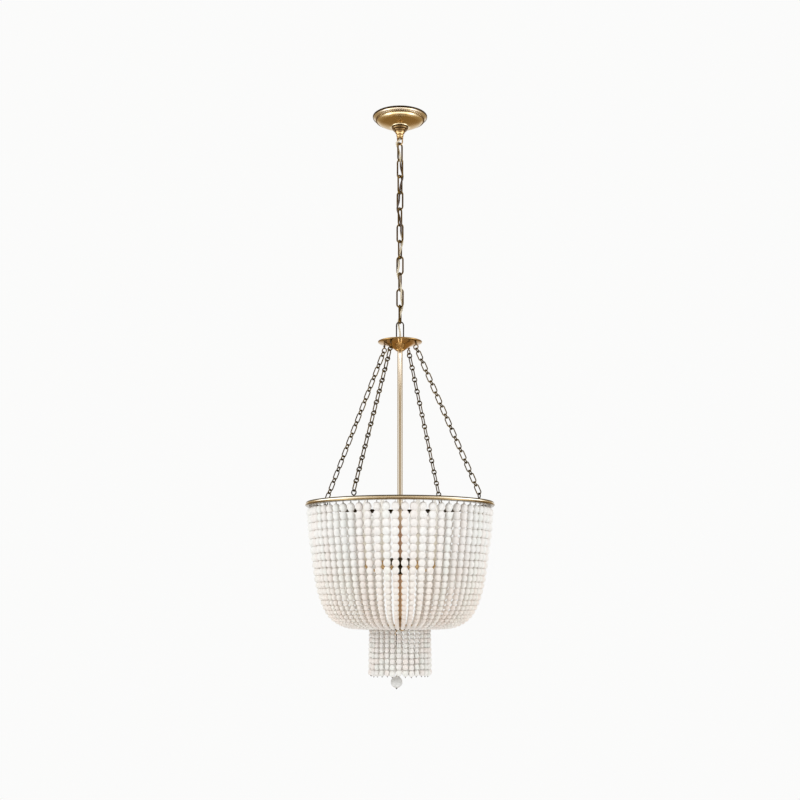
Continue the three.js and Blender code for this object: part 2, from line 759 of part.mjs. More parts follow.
function fringePanel() {
  const panelAngle = fullTurn / fringePanels;
  const step = panelAngle / fringeStrandsPerPanel;
  const bandAngle = panelAngle - step / 2;
  const band = arcBand(fringeCircle, fringeBandWidth, fringeBandTop, fringeBandHeight, bandAngle,
    fringeStrandsPerPanel - 1);
  const endTurn = step * (fringeStrandsPerPanel - 1) / 2;
  const postHeight = fringeSwingGap - seat;
  const posts = [-1, 1].map((side) => box(fringeBandWidth / 2, fringeBandWidth / 2, postHeight + overlap)
    .translate(fringeCircle, 0, fringeBandTop + (postHeight - overlap) / 2).rotateZ(side * endTurn));
  const strands = Array.from({ length: fringeStrandsPerPanel }, (_, i) => (
    fringeStrand().rotateZ(step * (i - (fringeStrandsPerPanel - 1) / 2))));
  return join([band, ...posts, ...strands]);
}

function finialLink() {
  return linkShape(finialLinkLength, finialLinkWidth, finialWire, 6, 10)
    .rotateZ(Math.PI / 2).translate(-finialOffset, 0, finialLinkCentre);
}

// Stem with its eye, the ball and the pointed tip
function finialDrop() {
  const eyeCentre = finialLinkBottom + seat + finialWire - finialEyeRadius;
  const ballCentre = finialLinkBottom - finialDropLength;
  const stemTop = eyeCentre - finialEyeRadius + finialWire / 2;
  const tipTop = ballCentre - finialBallRadius + overlap;
  const eye = roundEye(finialEyeRadius, finialWire).translate(0, 0, eyeCentre);
  const stem = new THREE.CylinderGeometry(finialStemRadius, finialStemRadius, stemTop - ballCentre, 8)
    .rotateX(Math.PI / 2).translate(0, 0, (stemTop + ballCentre) / 2);
  const ball = new THREE.SphereGeometry(finialBallRadius, 12, 8).rotateX(Math.PI / 2)
    .translate(0, 0, ballCentre);
  const tip = turned([
    [0, tipTop], [finialTipRadius, tipTop], [finialTipRadius, tipTop - finialTipLength / 2],
    [0, tipTop - finialTipLength],
  ].reverse(), 8);
  return join([eye, stem, ball, tip]).translate(-finialOffset, 0, 0);
}

// Ceiling end
add('ceiling_crossbar', crossbar(), satinSteel());
for (const [i, side] of [-1, 1].entries()) {
  add(`crossbar_screw_${i + 1}`, crossbarScrew(), satinSteel()).position.x = side * screwPlace;
}
add('threaded_nipple', nipple(), satinSteel());
add('canopy', canopy(), antiqueBrass());
add('screw_collar', screwCollar(), antiqueBrass());
add('canopy_loop', canopyLoop(), antiqueBrass());

// Chain and cord
for (let number = 1; number <= linkCount; number += 1) {
  add(`chain_link_${String(number).padStart(2, '0')}`, upperLink(number), darkBronze());
}
add('supply_cord_top', upperCord(), champagneCord());
add('supply_cord', lowerCord(), champagneCord());

// Crown, suspension chains and hoop
add('crown_loop', crownLoop(), antiqueBrass());
add('crown_disc', crownDisc(), antiqueBrass());
add('centre_rod', centreRod(), antiqueBrass());
const hangingChain = suspensionChain();
for (const [i, turn] of chainTurns().entries()) {
  add(`suspension_chain_${i + 1}`, hangingChain, darkBronze(), turn);
}
add('hoop', hoop(), antiqueBrass());

// Bead bowl
const panel = bowlPanel();
for (let i = 0; i < panelCount; i += 1) {
  add(`bead_panel_${i + 1}`, panel, ivoryBead(), (i + 1 / 2) * fullTurn / panelCount);
}

// Lamps
add('lamp_cluster', lampCluster(), darkBronze());
for (const [i, turn] of lampTurns().entries()) {
  add(`candle_sleeve_${i + 1}`, candleSleeve(), sleeveCream(), turn);
  const bulb = add(`candle_bulb_${i + 1}`, candleBulb(), bulbGlass());
  bulb.position.set(lampCircle * Math.cos(turn), lampCircle * Math.sin(turn), 0);
}

// Lower ring, fringe and finial
add('lower_ring', lowerRing(), antiqueBrass());
add('bottom_cap', bottomCap(), antiqueBrass());
const fringe = fringePanel();
const firstFringeTurn = THREE.MathUtils.degToRad(fringeTurn);
for (let i = 0; i < fringePanels; i += 1) {
  add(`fringe_panel_${i + 1}`, fringe, ivoryBead(), firstFringeTurn + i * fullTurn / fringePanels);
}
add('finial_link', finialLink(), darkBronze());
add('finial_drop', finialDrop(), frostedBall());

export default chandelier;
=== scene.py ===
# Beaded chandelier, dressed over its CAD frame.
# Shapes are in millimetres until they become meshes. The camera, the lamps and the finishes are in metres.
# +Z is up, and the origin lies on the ceiling plane, above the chain.
import math

import bpy
import numpy as np
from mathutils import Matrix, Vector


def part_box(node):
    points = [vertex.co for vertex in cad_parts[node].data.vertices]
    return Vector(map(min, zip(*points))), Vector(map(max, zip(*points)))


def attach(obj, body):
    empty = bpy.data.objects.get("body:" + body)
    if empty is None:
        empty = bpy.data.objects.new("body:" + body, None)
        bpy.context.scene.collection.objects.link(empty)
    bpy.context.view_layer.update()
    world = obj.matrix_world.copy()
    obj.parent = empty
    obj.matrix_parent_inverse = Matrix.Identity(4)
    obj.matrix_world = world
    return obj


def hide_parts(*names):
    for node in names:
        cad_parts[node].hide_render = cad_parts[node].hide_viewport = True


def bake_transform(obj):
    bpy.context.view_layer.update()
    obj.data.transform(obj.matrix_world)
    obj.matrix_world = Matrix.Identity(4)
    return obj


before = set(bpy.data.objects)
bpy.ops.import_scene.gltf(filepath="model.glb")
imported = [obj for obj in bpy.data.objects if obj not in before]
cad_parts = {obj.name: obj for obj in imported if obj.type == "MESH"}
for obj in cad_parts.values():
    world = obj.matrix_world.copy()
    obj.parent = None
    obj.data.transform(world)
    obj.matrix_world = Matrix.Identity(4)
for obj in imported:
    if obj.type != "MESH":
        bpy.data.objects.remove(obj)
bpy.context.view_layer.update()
metres = 0.001
tiny = 1e-9  # keeps a division away from zero


def highest(name):  # the top of a CAD node, in millimetres
    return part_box(name)[1].z / metres


def lowest(name):  # the foot of a CAD node, in millimetres
    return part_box(name)[0].z / metres


print("frame loaded")


# The camera at the photograph's angle: level, looking along +Y, with its picture shifted up.
view = {"lens": 53.96, "sensor": 36, "distance": 3.172, "height": -1.281, "shiftUp": 0.251, "farthest": 60}
cameraData = bpy.data.cameras.new("camera")
cameraData.lens = view["lens"]
cameraData.sensor_width = view["sensor"]
cameraData.shift_y = view["shiftUp"]
cameraData.clip_end = view["farthest"]
camera = bpy.data.objects.new("camera", cameraData)
camera.location = (0, -view["distance"], view["height"])
camera.rotation_euler = (math.pi / 2, 0, 0)
bpy.context.scene.collection.objects.link(camera)
bpy.context.scene.camera = camera


# Shapes. A part is its points (n, 3), quads (m, 4) and triangles (k, 3).
def xyz(x, y, z):  # points from coordinates, each an array or one number
    return np.stack(np.broadcast_arrays(x, y, z), axis=-1)


def polar(radius, angle, height):  # (r cos a, r sin a, z)
    return xyz(radius * np.cos(angle), radius * np.sin(angle), height)


def gridFaces(rows, columns, closeRows, closeColumns):
    # Cell (i, j) joins the points (i, j), (i, j+1), (i+1, j+1) and (i+1, j). A closed direction wraps round.
    i = np.arange(rows if closeRows else rows - 1)[:, None]
    j = np.arange(columns if closeColumns else columns - 1)[None, :]
    nextRow = (i + 1) % rows
    nextColumn = (j + 1) % columns
    cells = np.broadcast_arrays(i * columns + j, i * columns + nextColumn, nextRow * columns + nextColumn,
                                nextRow * columns + j)
    return np.stack(cells, axis=-1).reshape(-1, 4)


def fanFaces(centre, ring, flip):
    # Triangles from a centre point to each side of a ring of points.
    following = np.roll(ring, -1)
    faces = np.stack([np.full(len(ring), centre), ring, following], axis=-1)
    return faces[:, ::-1] if flip else faces


def endFans(centre, first, last):
    # Fans over the first and the last ring, whose centre points follow each other.
    return np.concatenate([fanFaces(centre, first, True), fanFaces(centre + 1, last, False)])


def outward(points, quads, triangles):
    # Signed volume = sum of a . (b x c) / 6 over the triangles; a negative one means that the faces point in.
    halves = np.concatenate([quads[:, [0, 1, 2]], quads[:, [0, 2, 3]], triangles]).astype(int)
    a, b, c = points[halves[:, 0]], points[halves[:, 1]], points[halves[:, 2]]
    volume = np.einsum("ij,ij->i", a, np.cross(b, c)).sum()
    if volume < 0:
        return points, quads[:, ::-1], triangles[:, ::-1]
    return points, quads, triangles


noTriangles = np.zeros((0, 3), int)


def turned(profile, sides, ripple=None):
    # x = r(s) cos a, y = r(s) sin a, z = z(s), with r(s) times ripple(s, a) where one is given.
    # The profile closes on itself, or starts and ends on the axis, where a pole point closes it.
    profile = np.asarray(profile, float)
    angle = np.arange(sides) * 2 * np.pi / sides
    onAxis = profile[0, 0] == 0
    ring = profile[1:-1] if onAxis else profile
    radius = ring[:, :1]
    if ripple is not None:
        radius = radius * ripple(ring, angle)
    points = polar(radius, angle, ring[:, 1:]).reshape(-1, 3)
    quads = gridFaces(len(ring), sides, not onAxis, True)
    triangles = noTriangles
    if onAxis:
        first = np.arange(sides)
        last = (len(ring) - 1) * sides + first
        poles = np.array([[0, 0, profile[0, 1]], [0, 0, profile[-1, 1]]])
        triangles = endFans(len(points), first, last)
        points = np.concatenate([points, poles])
    return outward(points, quads, triangles)


def hung(outline, top):
    # Points of (radius, drop below the top) as (radius, height).
    return [(radius, top - drop) for radius, drop in outline]


def soft(profile, radius, steps=3, closed=True, mostShare=0.45):
    # Each corner B becomes the curve (1-t)^2 A + 2t(1-t) B + t^2 C. A and C lie the radius away along its two
    # sides, or mostShare of a side that is short.
    profile = np.asarray(profile, float)
    before = np.roll(profile, 1, axis=0) - profile
    after = np.roll(profile, -1, axis=0) - profile
    reach = [np.minimum(radius / np.maximum(np.linalg.norm(side, axis=1), tiny), mostShare)[:, None]
             for side in (before, after)]
    a = profile + before * reach[0]
    c = profile + after * reach[1]
    t = np.linspace(0, 1, steps)[None, :, None]
    curve = (1 - t) ** 2 * a[:, None] + 2 * t * (1 - t) * profile[:, None] + t ** 2 * c[:, None]
    if closed:
        return curve.reshape(-1, 2)
    return np.concatenate([profile[:1], curve[1:-1].reshape(-1, 2), profile[-1:]])


def spun(outline, top, softness, sides, closed=True, steps=3, ripple=None):
    # A turned body from an outline that hangs from its top, with softened corners.
    return turned(soft(hung(outline, top), softness, steps, closed), sides, ripple)


def smoothPath(points, count):
    # Catmull-Rom curve through the points: with t the share of the way from p1 to p2, a sample is half of
    # 2 p1 + (p2 - p0) t + (2 p0 - 5 p1 + 4 p2 - p3) t^2 + (3 p1 - p0 - 3 p2 + p3) t^3.
    points = np.asarray(points, float)
    padded = np.concatenate([2 * points[:1] - points[1:2], points, 2 * points[-1:] - points[-2:-1]])
    spans = len(points) - 1
    u = np.linspace(0, spans, count)
    k = np.minimum(u.astype(int), spans - 1)
    t = (u - k)[:, None]
    p0, p1, p2, p3 = (padded[k + n] for n in range(4))
    return 0.5 * (2 * p1 + (p2 - p0) * t + (2 * p0 - 5 * p1 + 4 * p2 - p3) * t ** 2
                  + (3 * p1 - p0 - 3 * p2 + p3) * t ** 3)


def evenPath(path, count):
    # The same path with its samples at equal distances along it.
    run = np.concatenate([[0], np.cumsum(np.linalg.norm(np.diff(path, axis=0), axis=1))])
    at = np.linspace(0, run[-1], count)
    return np.stack([np.interp(at, run, path[:, axis]) for axis in range(3)], axis=-1)


def pathFrames(path, closed, guide):
    # At each point: the side vector, guide x tangent, and the up vector, tangent x side, both of length 1.
    if closed:
        tangent = np.roll(path, -1, axis=0) - np.roll(path, 1, axis=0)
    else:
        tangent = np.gradient(path, axis=0)
    tangent /= np.linalg.norm(tangent, axis=1)[:, None]
    side = np.cross(guide, tangent)
    side /= np.linalg.norm(side, axis=1)[:, None]
    return side, np.cross(tangent, side)


def tube(path, radius, sides, closed=False, guide=(0, 1, 0)):
    # Point (s, a) = path(s) + radius(s) (side(s) cos a + up(s) sin a). A fan closes each open end.
    path = np.asarray(path, float)
    radius = np.broadcast_to(np.asarray(radius, float), len(path))
    angle = np.arange(sides) * 2 * np.pi / sides
    side, up = pathFrames(path, closed, np.asarray(guide, float))
    around = side[:, None] * np.cos(angle)[:, None] + up[:, None] * np.sin(angle)[:, None]
    points = (path[:, None] + radius[:, None, None] * around).reshape(-1, 3)
    quads = gridFaces(len(path), sides, closed, True)
    triangles = noTriangles
    if not closed:
        first = np.arange(sides)
        last = (len(path) - 1) * sides + first
        triangles = endFans(len(points), first, last)
        points = np.concatenate([points, path[:1], path[-1:]])
    return outward(points, quads, triangles)


def stadium(length, width, count):
    # Oval centre line in the XZ plane: the circle (w/2 cos a, 0, w/2 sin a), its upper half lifted and its
    # lower half dropped by (length - w) / 2.
    half = (length - width) / 2
    angle = np.linspace(0, 2 * np.pi, count, endpoint=False) + np.pi / count
    z = width / 2 * np.sin(angle)
    return xyz(width / 2 * np.cos(angle), 0, z + np.sign(z) * half)


def ball(centres, radii, axes, stretch, sides=12, rings=8, roundness=1.0, poleShare=0.97):
    # Bead k: centre + radius ((u cos a + v sin a) cos(b)^roundness + axis sin b stretch), with a round it and
    # b from hole to hole. A roundness of 1 is a globe, and less is a barrel. The holes lie a little way in.
    centres, axes = np.asarray(centres, float), np.asarray(axes, float)
    radii, stretch = np.asarray(radii, float), np.asarray(stretch, float)
    a = np.arange(sides) * 2 * np.pi / sides
    b = (np.arange(rings) + 0.5) / rings * np.pi - np.pi / 2
    u = np.cross(axes, [0.31, 0.94, 0.12])  # a direction that no bead's axis has
    u /= np.linalg.norm(u, axis=1)[:, None]
    v = np.cross(axes, u)
    around = u[:, None, None] * np.cos(a)[:, None] + v[:, None, None] * np.sin(a)[:, None]
    along = axes[:, None, None] * (np.sin(b)[:, None, None] * stretch[:, None, None, None])
    width = (np.cos(b) ** roundness)[:, None, None]
    points = centres[:, None, None] + radii[:, None, None, None] * (around * width + along)
    toHoles = (radii * stretch * poleShare)[:, None, None] * np.array([-1, 1])[:, None]
    poles = centres[:, None] + axes[:, None] * toHoles
    one = rings * sides + 2
    allPoints = np.concatenate([points.reshape(len(centres), -1, 3), poles], axis=1).reshape(-1, 3)
    quads = gridFaces(rings, sides, False, True)
    first = np.arange(sides)
    last = first + (rings - 1) * sides
    triangles = endFans(one - 2, first, last)
    shift = (np.arange(len(centres)) * one)[:, None, None]
    return outward(allPoints, (quads + shift).reshape(-1, 4), (triangles + shift).reshape(-1, 3))


def moved(part, offset=(0, 0, 0), turn=0.0, tilt=0.0):
    # Tilts a part about Y, turns it about Z, then shifts it: offset + Z Y p. The angles are in radians.
    points, quads, triangles = part
    ct, st, cz, sz = math.cos(tilt), math.sin(tilt), math.cos(turn), math.sin(turn)
    tiltY = np.array([[ct, 0, st], [0, 1, 0], [-st, 0, ct]])
    turnZ = np.array([[cz, -sz, 0], [sz, cz, 0], [0, 0, 1]])
    return points @ (turnZ @ tiltY).T + np.asarray(offset, float), quads, triangles


def merged(parts):
    # One part from several, with each part's faces shifted past the points before it.
    starts = np.cumsum([0] + [len(part[0]) for part in parts[:-1]])
    faces = [np.concatenate([part[kind] + start for part, start in zip(parts, starts)]) for kind in (1, 2)]
    return np.concatenate([part[0] for part in parts]), *faces


def allRound(part, turns):  # copies of a part, turned about Z
    return [moved(part, turn=turn) for turn in turns]


def addPiece(name, part, material, body, nodes=(), sharp=35, tone=None):
    # A part becomes a mesh that rides its body and takes the place of the CAD nodes that it stands for. Given
    # two bodies and a bend, it keeps its place and rides neither. Edges of more than sharp degrees stay
    # crisp.
    # The tone is a value for each point.
    points, quads, triangles = part
    mesh = bpy.data.meshes.new(name)
    loops = np.concatenate([quads.reshape(-1), triangles.reshape(-1)])
    sizes = np.concatenate([np.full(len(quads), 4), np.full(len(triangles), 3)])
    mesh.vertices.add(len(points))
    mesh.vertices.foreach_set("co", (points * metres).astype(np.float32).reshape(-1))
    mesh.loops.add(len(loops))
    mesh.loops.foreach_set("vertex_index", loops.astype(np.int32))
    mesh.polygons.add(len(sizes))
    mesh.polygons.foreach_set("loop_start", np.concatenate([[0], np.cumsum(sizes)[:-1]]).astype(np.int32))
    mesh.polygons.foreach_set("loop_total", sizes.astype(np.int32))
    mesh.polygons.foreach_set("use_smooth", np.ones(len(sizes), bool))
    mesh.update(calc_edges=True)
    if sharp < 180:
        mesh.set_sharp_from_angle(angle=math.radians(sharp))
    if tone is not None:
        mesh.attributes.new("tone", "FLOAT", "POINT").data.foreach_set("value", tone.astype(np.float32))
    mesh.materials.append(material)
    piece = bpy.data.objects.new(name, mesh)
    bpy.context.scene.collection.objects.link(piece)
    if isinstance(body, tuple):
        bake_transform(piece)
    else:
        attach(piece, body)
    if nodes:
        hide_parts(*nodes)


# Finishes, all on Object coordinates.
def feed(tree, socket, value):  # links a node's output, or sets a number, a vector or a colour
    if isinstance(value, bpy.types.NodeSocket):
        tree.links.new(value, socket)
    else:
        socket.default_value = (*value, 1) if socket.type == "RGBA" else value


def newNode(tree, kind, inputs, output, **settings):
    # A shader node of the kind, with its settings and its inputs by their names. Returns one output.
    node = tree.nodes.new("ShaderNode" + kind)
    for name, value in settings.items():
        setattr(node, name, value)
    for name, value in inputs.items():
        feed(tree, node.inputs[name], value)
    return node.outputs[output]


def newMaterial(name, fixed):  # fixed holds values for the shader's sockets, by their names
    material = bpy.data.materials.new(name)
    material.use_nodes = True
    tree = material.node_tree
    shader = tree.nodes["Principled BSDF"]
    for socket, value in fixed.items():
        feed(tree, shader.inputs[socket], value)
    return material, tree, shader, newNode(tree, "TexCoord", {}, "Object")


def noise(tree, place, scale, detail=3.0, stretch=(1, 1, 1)):  # clouds from 0 to 1, so many to a metre
    stretched = newNode(tree, "Mapping", {"Vector": place, "Scale": stretch}, "Vector")
    return newNode(tree, "TexNoise", {"Vector": stretched, "Scale": scale, "Detail": detail}, "Fac")


def ramp(tree, factor, *stops):  # a colour for each share of the factor
    node = tree.nodes.new("ShaderNodeValToRGB")
    elements = node.color_ramp.elements
    elements[0].position, elements[0].color = stops[0][0], (*stops[0][1], 1)
    elements[1].position, elements[1].color = stops[-1][0], (*stops[-1][1], 1)
    for position, color in stops[1:-1]:
        elements.new(position).color = (*color, 1)
    feed(tree, node.inputs["Fac"], factor)
    return node.outputs["Color"]


def span(tree, factor, low, high, fromLow=0.3, fromHigh=0.7):  # carries one range to another
    return newNode(tree, "MapRange", {"Value": factor, "From Min": fromLow, "From Max": fromHigh,
                                      "To Min": low, "To Max": high}, "Result")


def blendColor(tree, factor, a, b, kind="MIX"):  # from a to b by the factor
    mixed = {"Factor": factor, "A": a, "B": b}
    return newNode(tree, "Mix", mixed, "Result", data_type="RGBA", blend_type=kind)


def hollows(tree, reach):  # 1 on open surfaces, towards 0 in grooves and where pieces meet
    return newNode(tree, "AmbientOcclusion", {"Distance": reach}, "AO", samples=6)


def upward(tree, place):  # the height in metres
    return newNode(tree, "SeparateXYZ", {"Vector": place}, "Z")


def dress(tree, shader, color, sheen, roughness, relief, depth):
    # The colour, the roughness, which is the sheen's clouds carried to a range, and a relief in metres.
    feed(tree, shader.inputs["Base Color"], color)
    feed(tree, shader.inputs["Roughness"], span(tree, sheen, *roughness))
    normal = newNode(tree, "Bump", {"Height": relief, "Distance": depth, "Strength": 1}, "Normal")
    feed(tree, shader.inputs["Normal"], normal)


black, white = (0, 0, 0), (1, 1, 1)
metalLook = {"cloudScale": 45, "deepAt": 0.35, "brightAt": 0.62, "speckScale": 420,
             "specks": ((0.28, (0.55, 0.5, 0.45)), (0.42, white)), "speckShare": 0.08, "paintedLightShare": 0.9,
             "grooveReach": 0.005, "grooves": (0.25, 0.8), "streakScale": 60, "brushScale": 90,
             "brushDepth": 0.000004, "fixed": {"Metallic": 1.0, "Coat Roughness": 0.1}}


def metalFinish(name, bright, deep, patina, roughness, brush, coat=0.4, paintedLightBands=None, look=metalLook):
    # Bright and deep tones in clouds, with patina in the grooves. Painted light bands are painted highlights
    # and
    # shade that follow the height: the foot and the top in metres, and the colours at shares of the way
    # between them.
    material, tree, shader, place = newMaterial(name, {"Coat Weight": coat, **look["fixed"]})
    cloud = ramp(tree, noise(tree, place, look["cloudScale"], detail=4), (look["deepAt"], deep),
                 (look["brightAt"], bright))
    specks = ramp(tree, noise(tree, place, look["speckScale"], detail=2), *look["specks"])
    wearAndPaintedLight = blendColor(tree, look["speckShare"], cloud, specks, "MULTIPLY")
    # Painted highlights and painted shade by height, laid over the worn clouds and specks.
    if paintedLightBands:
        foot, top, stops = paintedLightBands
        height = span(tree, upward(tree, place), 0, 1, foot, top)
        wearAndPaintedLight = blendColor(tree, look["paintedLightShare"], wearAndPaintedLight, ramp(tree, height, *stops))
    openness = span(tree, hollows(tree, look["grooveReach"]), 0, 1, *look["grooves"])
    streaks = noise(tree, place, look["streakScale"], 2, brush)
    relief = noise(tree, place, look["brushScale"], 1, brush)
    dress(tree, shader, blendColor(tree, openness, patina, wearAndPaintedLight), streaks, roughness, relief, look["brushDepth"])
    return material


def fromFootToTop(name, *stops):  # painted light bands over the height of a CAD node
    return lowest(name) * metres, highest(name) * metres, stops


brassTones = (0.66, 0.49, 0.27), (0.56, 0.39, 0.19), (0.10, 0.055, 0.02)
antiqueBrass = metalFinish("antiqueBrass", *brassTones, roughness=(0.16, 0.24), brush=(1, 1, 7), coat=0.1)
rodBrass = metalFinish(
    "paleRodBrass", (0.94, 0.92, 0.87), (0.90, 0.86, 0.79), (0.3, 0.22, 0.14),
    roughness=(0.12, 0.16), brush=(2, 2, 0.15),
    paintedLightBands=fromFootToTop(  # painted shade: browner inside the bowl
        "centre_rod", (0, (0.52, 0.36, 0.20)), (0.2, (0.52, 0.31, 0.18)), (0.34, (0.5, 0.28, 0.16)),
        (0.41, (0.72, 0.56, 0.4)), (0.44, (0.93, 0.90, 0.84)), (1, (0.93, 0.90, 0.84))))
dishBrass = metalFinish(
    "dishBrass", (0.62, 0.44, 0.21), (0.54, 0.36, 0.15), (0.10, 0.055, 0.02),
    roughness=(0.18, 0.24), brush=(1, 1, 3), coat=0.1,
    paintedLightBands=fromFootToTop(  # brown body, with painted highlights on the neck, the shoulder and the edge and painted shade in the cove
        "canopy", (0, (0.98, 0.90, 0.70)), (0.05, (0.9, 0.78, 0.52)), (0.1, (0.56, 0.38, 0.16)),
        (0.32, (0.59, 0.41, 0.18)), (0.46, (0.84, 0.68, 0.42)), (0.6, (0.92, 0.80, 0.55)),
        (0.66, (0.5, 0.34, 0.16)), (0.72, (0.90, 0.81, 0.67)), (1, (0.90, 0.81, 0.67))))
collarBrass = metalFinish("collarBrass", (0.35, 0.24, 0.12), (0.26, 0.17, 0.08), (0.015, 0.009, 0.004),
                          roughness=(0.1, 0.16), brush=(1, 1, 3), coat=0.1)
crownBrass = metalFinish(
    "crownBrass", (0.60, 0.38, 0.15), (0.52, 0.31, 0.11), (0.08, 0.04, 0.015),
    roughness=(0.13, 0.17), brush=(1, 1, 3), coat=0.0,
    paintedLightBands=fromFootToTop(  # painted highlight on the neck, painted shade on the edge
        "crown_disc", (0, (0.66, 0.46, 0.2)), (0.12, (0.60, 0.35, 0.125)), (0.62, (0.58, 0.33, 0.11)),
        (0.8, (0.46, 0.3, 0.12)), (0.9, (0.3, 0.2, 0.09)), (1, (0.3, 0.2, 0.09))))
chainBronze = metalFinish("chainBronze", (0.19, 0.12, 0.034), (0.10, 0.063, 0.017), (0.01, 0.006, 0.002),
                          roughness=(0.12, 0.2), brush=(2, 2, 2), coat=0.0)
slantedBronze = metalFinish("slantedBronze", (0.13, 0.09, 0.03), (0.06, 0.042, 0.014), (0.008, 0.005, 0.002),
                            roughness=(0.14, 0.22), brush=(2, 2, 2), coat=0.0)
darkBronze = metalFinish("darkBronze", (0.05, 0.034, 0.016), (0.025, 0.017, 0.008), (0.008, 0.005, 0.002),
                         roughness=(0.14, 0.24), brush=(2, 2, 2), coat=0.15)
agedBrass = metalFinish("agedBrass", (0.38, 0.26, 0.12), (0.22, 0.14, 0.06), (0.02, 0.012, 0.005),
                        roughness=(0.16, 0.26), brush=(2, 2, 2), coat=0.1)
satinSteel = metalFinish("satinSteel", (0.62, 0.61, 0.58), (0.5, 0.49, 0.46), (0.16, 0.15, 0.14),
                         roughness=(0.35, 0.5), brush=(1, 8, 1))

beadLook = {"washes": ((0.0, (0.91, 0.86, 0.825)), (0.5, (0.93, 0.92, 0.90)), (1.0, (0.90, 0.915, 0.88))),
            "lowShade": ((0.33, (0.96, 0.945, 0.935)), (0.42, (0.955, 0.90, 0.855)),
                      (0.62, (0.98, 0.95, 0.92)), (0.9, white)), "lowShadeBetween": (-1.5, -1.1),
            "grainScale": 900, "grainStretch": (1, 1, 0.35), "grainShare": 0.5,
            "grain": ((0.3, (0.94, 0.925, 0.90)), (0.6, white)), "reach": (0.0045, 0.012),
            "reachBetween": (-1.34, -1.2), "closedAt": 0.08, "sheenScale": 260, "roughness": (0.45, 0.62),
            "poreScale": 1500, "poreStretch": (1, 1, 0.4), "poreDepth": 0.00004,
            "fixed": {"Specular IOR Level": 0.2}}


def beadFinish(name, paintedRecessShade, clearAt, look=beadLook):
    # White-washed beads: a faint grain, a tone of their own, a painted warm shade that makes them rosier low
    # down, and a painted shade where they meet, over a smaller reach low down. Heights and reaches are in
    # metres.
    material, tree, shader, place = newMaterial(name, look["fixed"])
    tone = newNode(tree, "Attribute", {}, "Fac", attribute_name="tone")
    wash = ramp(tree, tone, *look["washes"])
    height = upward(tree, place)
    # Painted warm shade that makes the beads rosier low in the bowl.
    lowShaded = ramp(tree, span(tree, height, 0, 1, *look["lowShadeBetween"]), *look["lowShade"])
    grain = ramp(tree, noise(tree, place, look["grainScale"], 4, look["grainStretch"]), *look["grain"])
    grained = blendColor(tree, look["grainShare"], wash, grain, "MULTIPLY")
    painted = blendColor(tree, 1.0, grained, lowShaded, "MULTIPLY")
    # Painted shade where the beads meet: the hollows take the recess colour.
    reach = span(tree, height, *look["reach"], *look["reachBetween"])
    openness = span(tree, hollows(tree, reach), 0, 1, look["closedAt"], clearAt)
    sheen = noise(tree, place, look["sheenScale"], detail=2)
    pores = noise(tree, place, look["poreScale"], 3, look["poreStretch"])
    dress(tree, shader, blendColor(tree, openness, paintedRecessShade, painted), sheen, look["roughness"], pores,
          look["poreDepth"])
    return material


cordLook = {"threadScale": 420, "threadWave": 1.5, "threadDepth": 0.0002,
            "threads": ((0.1, (0.66, 0.54, 0.34)), (0.8, (0.88, 0.80, 0.63))), "darkStretchBetween": (-0.55, -0.06),
            "darkStretch": ((0.46, black), (0.5, white), (0.86, white), (0.89, black)),
            "darkStretchColor": (0.06, 0.03, 0.012), "sheenScale": 300, "roughness": (0.3, 0.5),
            "fixed": {"Transmission Weight": 0.15, "Sheen Weight": 0.3}}


def cordFinish(look):
    # Champagne sleeve over twisted wires, with fine crossing threads, dark brown over a stretch of its
    # length.
    material, tree, shader, place = newMaterial("champagneCord", look["fixed"])
    wave = {"Vector": place, "Scale": look["threadScale"], "Distortion": look["threadWave"]}
    threads = newNode(tree, "TexWave", wave, "Fac", wave_type="BANDS", bands_direction="DIAGONAL")
    darkStretch = ramp(tree, span(tree, upward(tree, place), 0, 1, *look["darkStretchBetween"]), *look["darkStretch"])
    color = blendColor(tree, darkStretch, ramp(tree, threads, *look["threads"]), look["darkStretchColor"])
    sheen = noise(tree, place, look["sheenScale"], detail=2)
    dress(tree, shader, color, sheen, look["roughness"], threads, look["threadDepth"])
    return material


def paleFinish(name, look):
    # A tint in soft clouds, with its own roughness and relief.
    material, tree, shader, place = newMaterial(name, look["fixed"])
    tint = ramp(tree, noise(tree, place, look["tintScale"], stretch=look["tintStretch"]), *look["tints"])
    sheen = noise(tree, place, look["sheenScale"], look["sheenDetail"])
    relief = noise(tree, place, look["reliefScale"], look["reliefDetail"], look["reliefStretch"])
    dress(tree, shader, tint, sheen, look["roughness"], relief, look["reliefDepth"])
    return material


# Cream sleeve with faint upright runs and drips, as on a wax candle.
candleLook = {"tintScale": 70, "tintStretch": (1, 1, 0.3), "sheenScale": 200, "sheenDetail": 2,
              "tints": ((0.3, (0.84, 0.78, 0.66)), (0.7, (0.92, 0.88, 0.78))), "roughness": (0.45, 0.62),
              "reliefScale": 160, "reliefDetail": 3, "reliefStretch": (1, 1, 0.25), "reliefDepth": 0.0003,
              "fixed": {}}
# Frosted glass, which lets a share of the light through.
glassLook = {"tintScale": 90, "tintStretch": (1, 1, 1), "sheenScale": 500, "sheenDetail": 3,
             "reliefScale": 1800, "reliefDetail": 2, "reliefStretch": (1, 1, 1), "reliefDepth": 0.00005}
bulbLook = {**glassLook, "tints": ((0.3, (0.93, 0.9, 0.83)), (0.7, (0.98, 0.96, 0.92))),
            "roughness": (0.3, 0.45), "fixed": {"Transmission Weight": 0.35, "IOR": 1.48}}
ballLook = {**glassLook, "tints": ((0.3, (0.80, 0.80, 0.78)), (0.7, (0.87, 0.87, 0.85))),
            "roughness": (0.35, 0.55), "fixed": {"Transmission Weight": 0.1, "IOR": 1.48}}

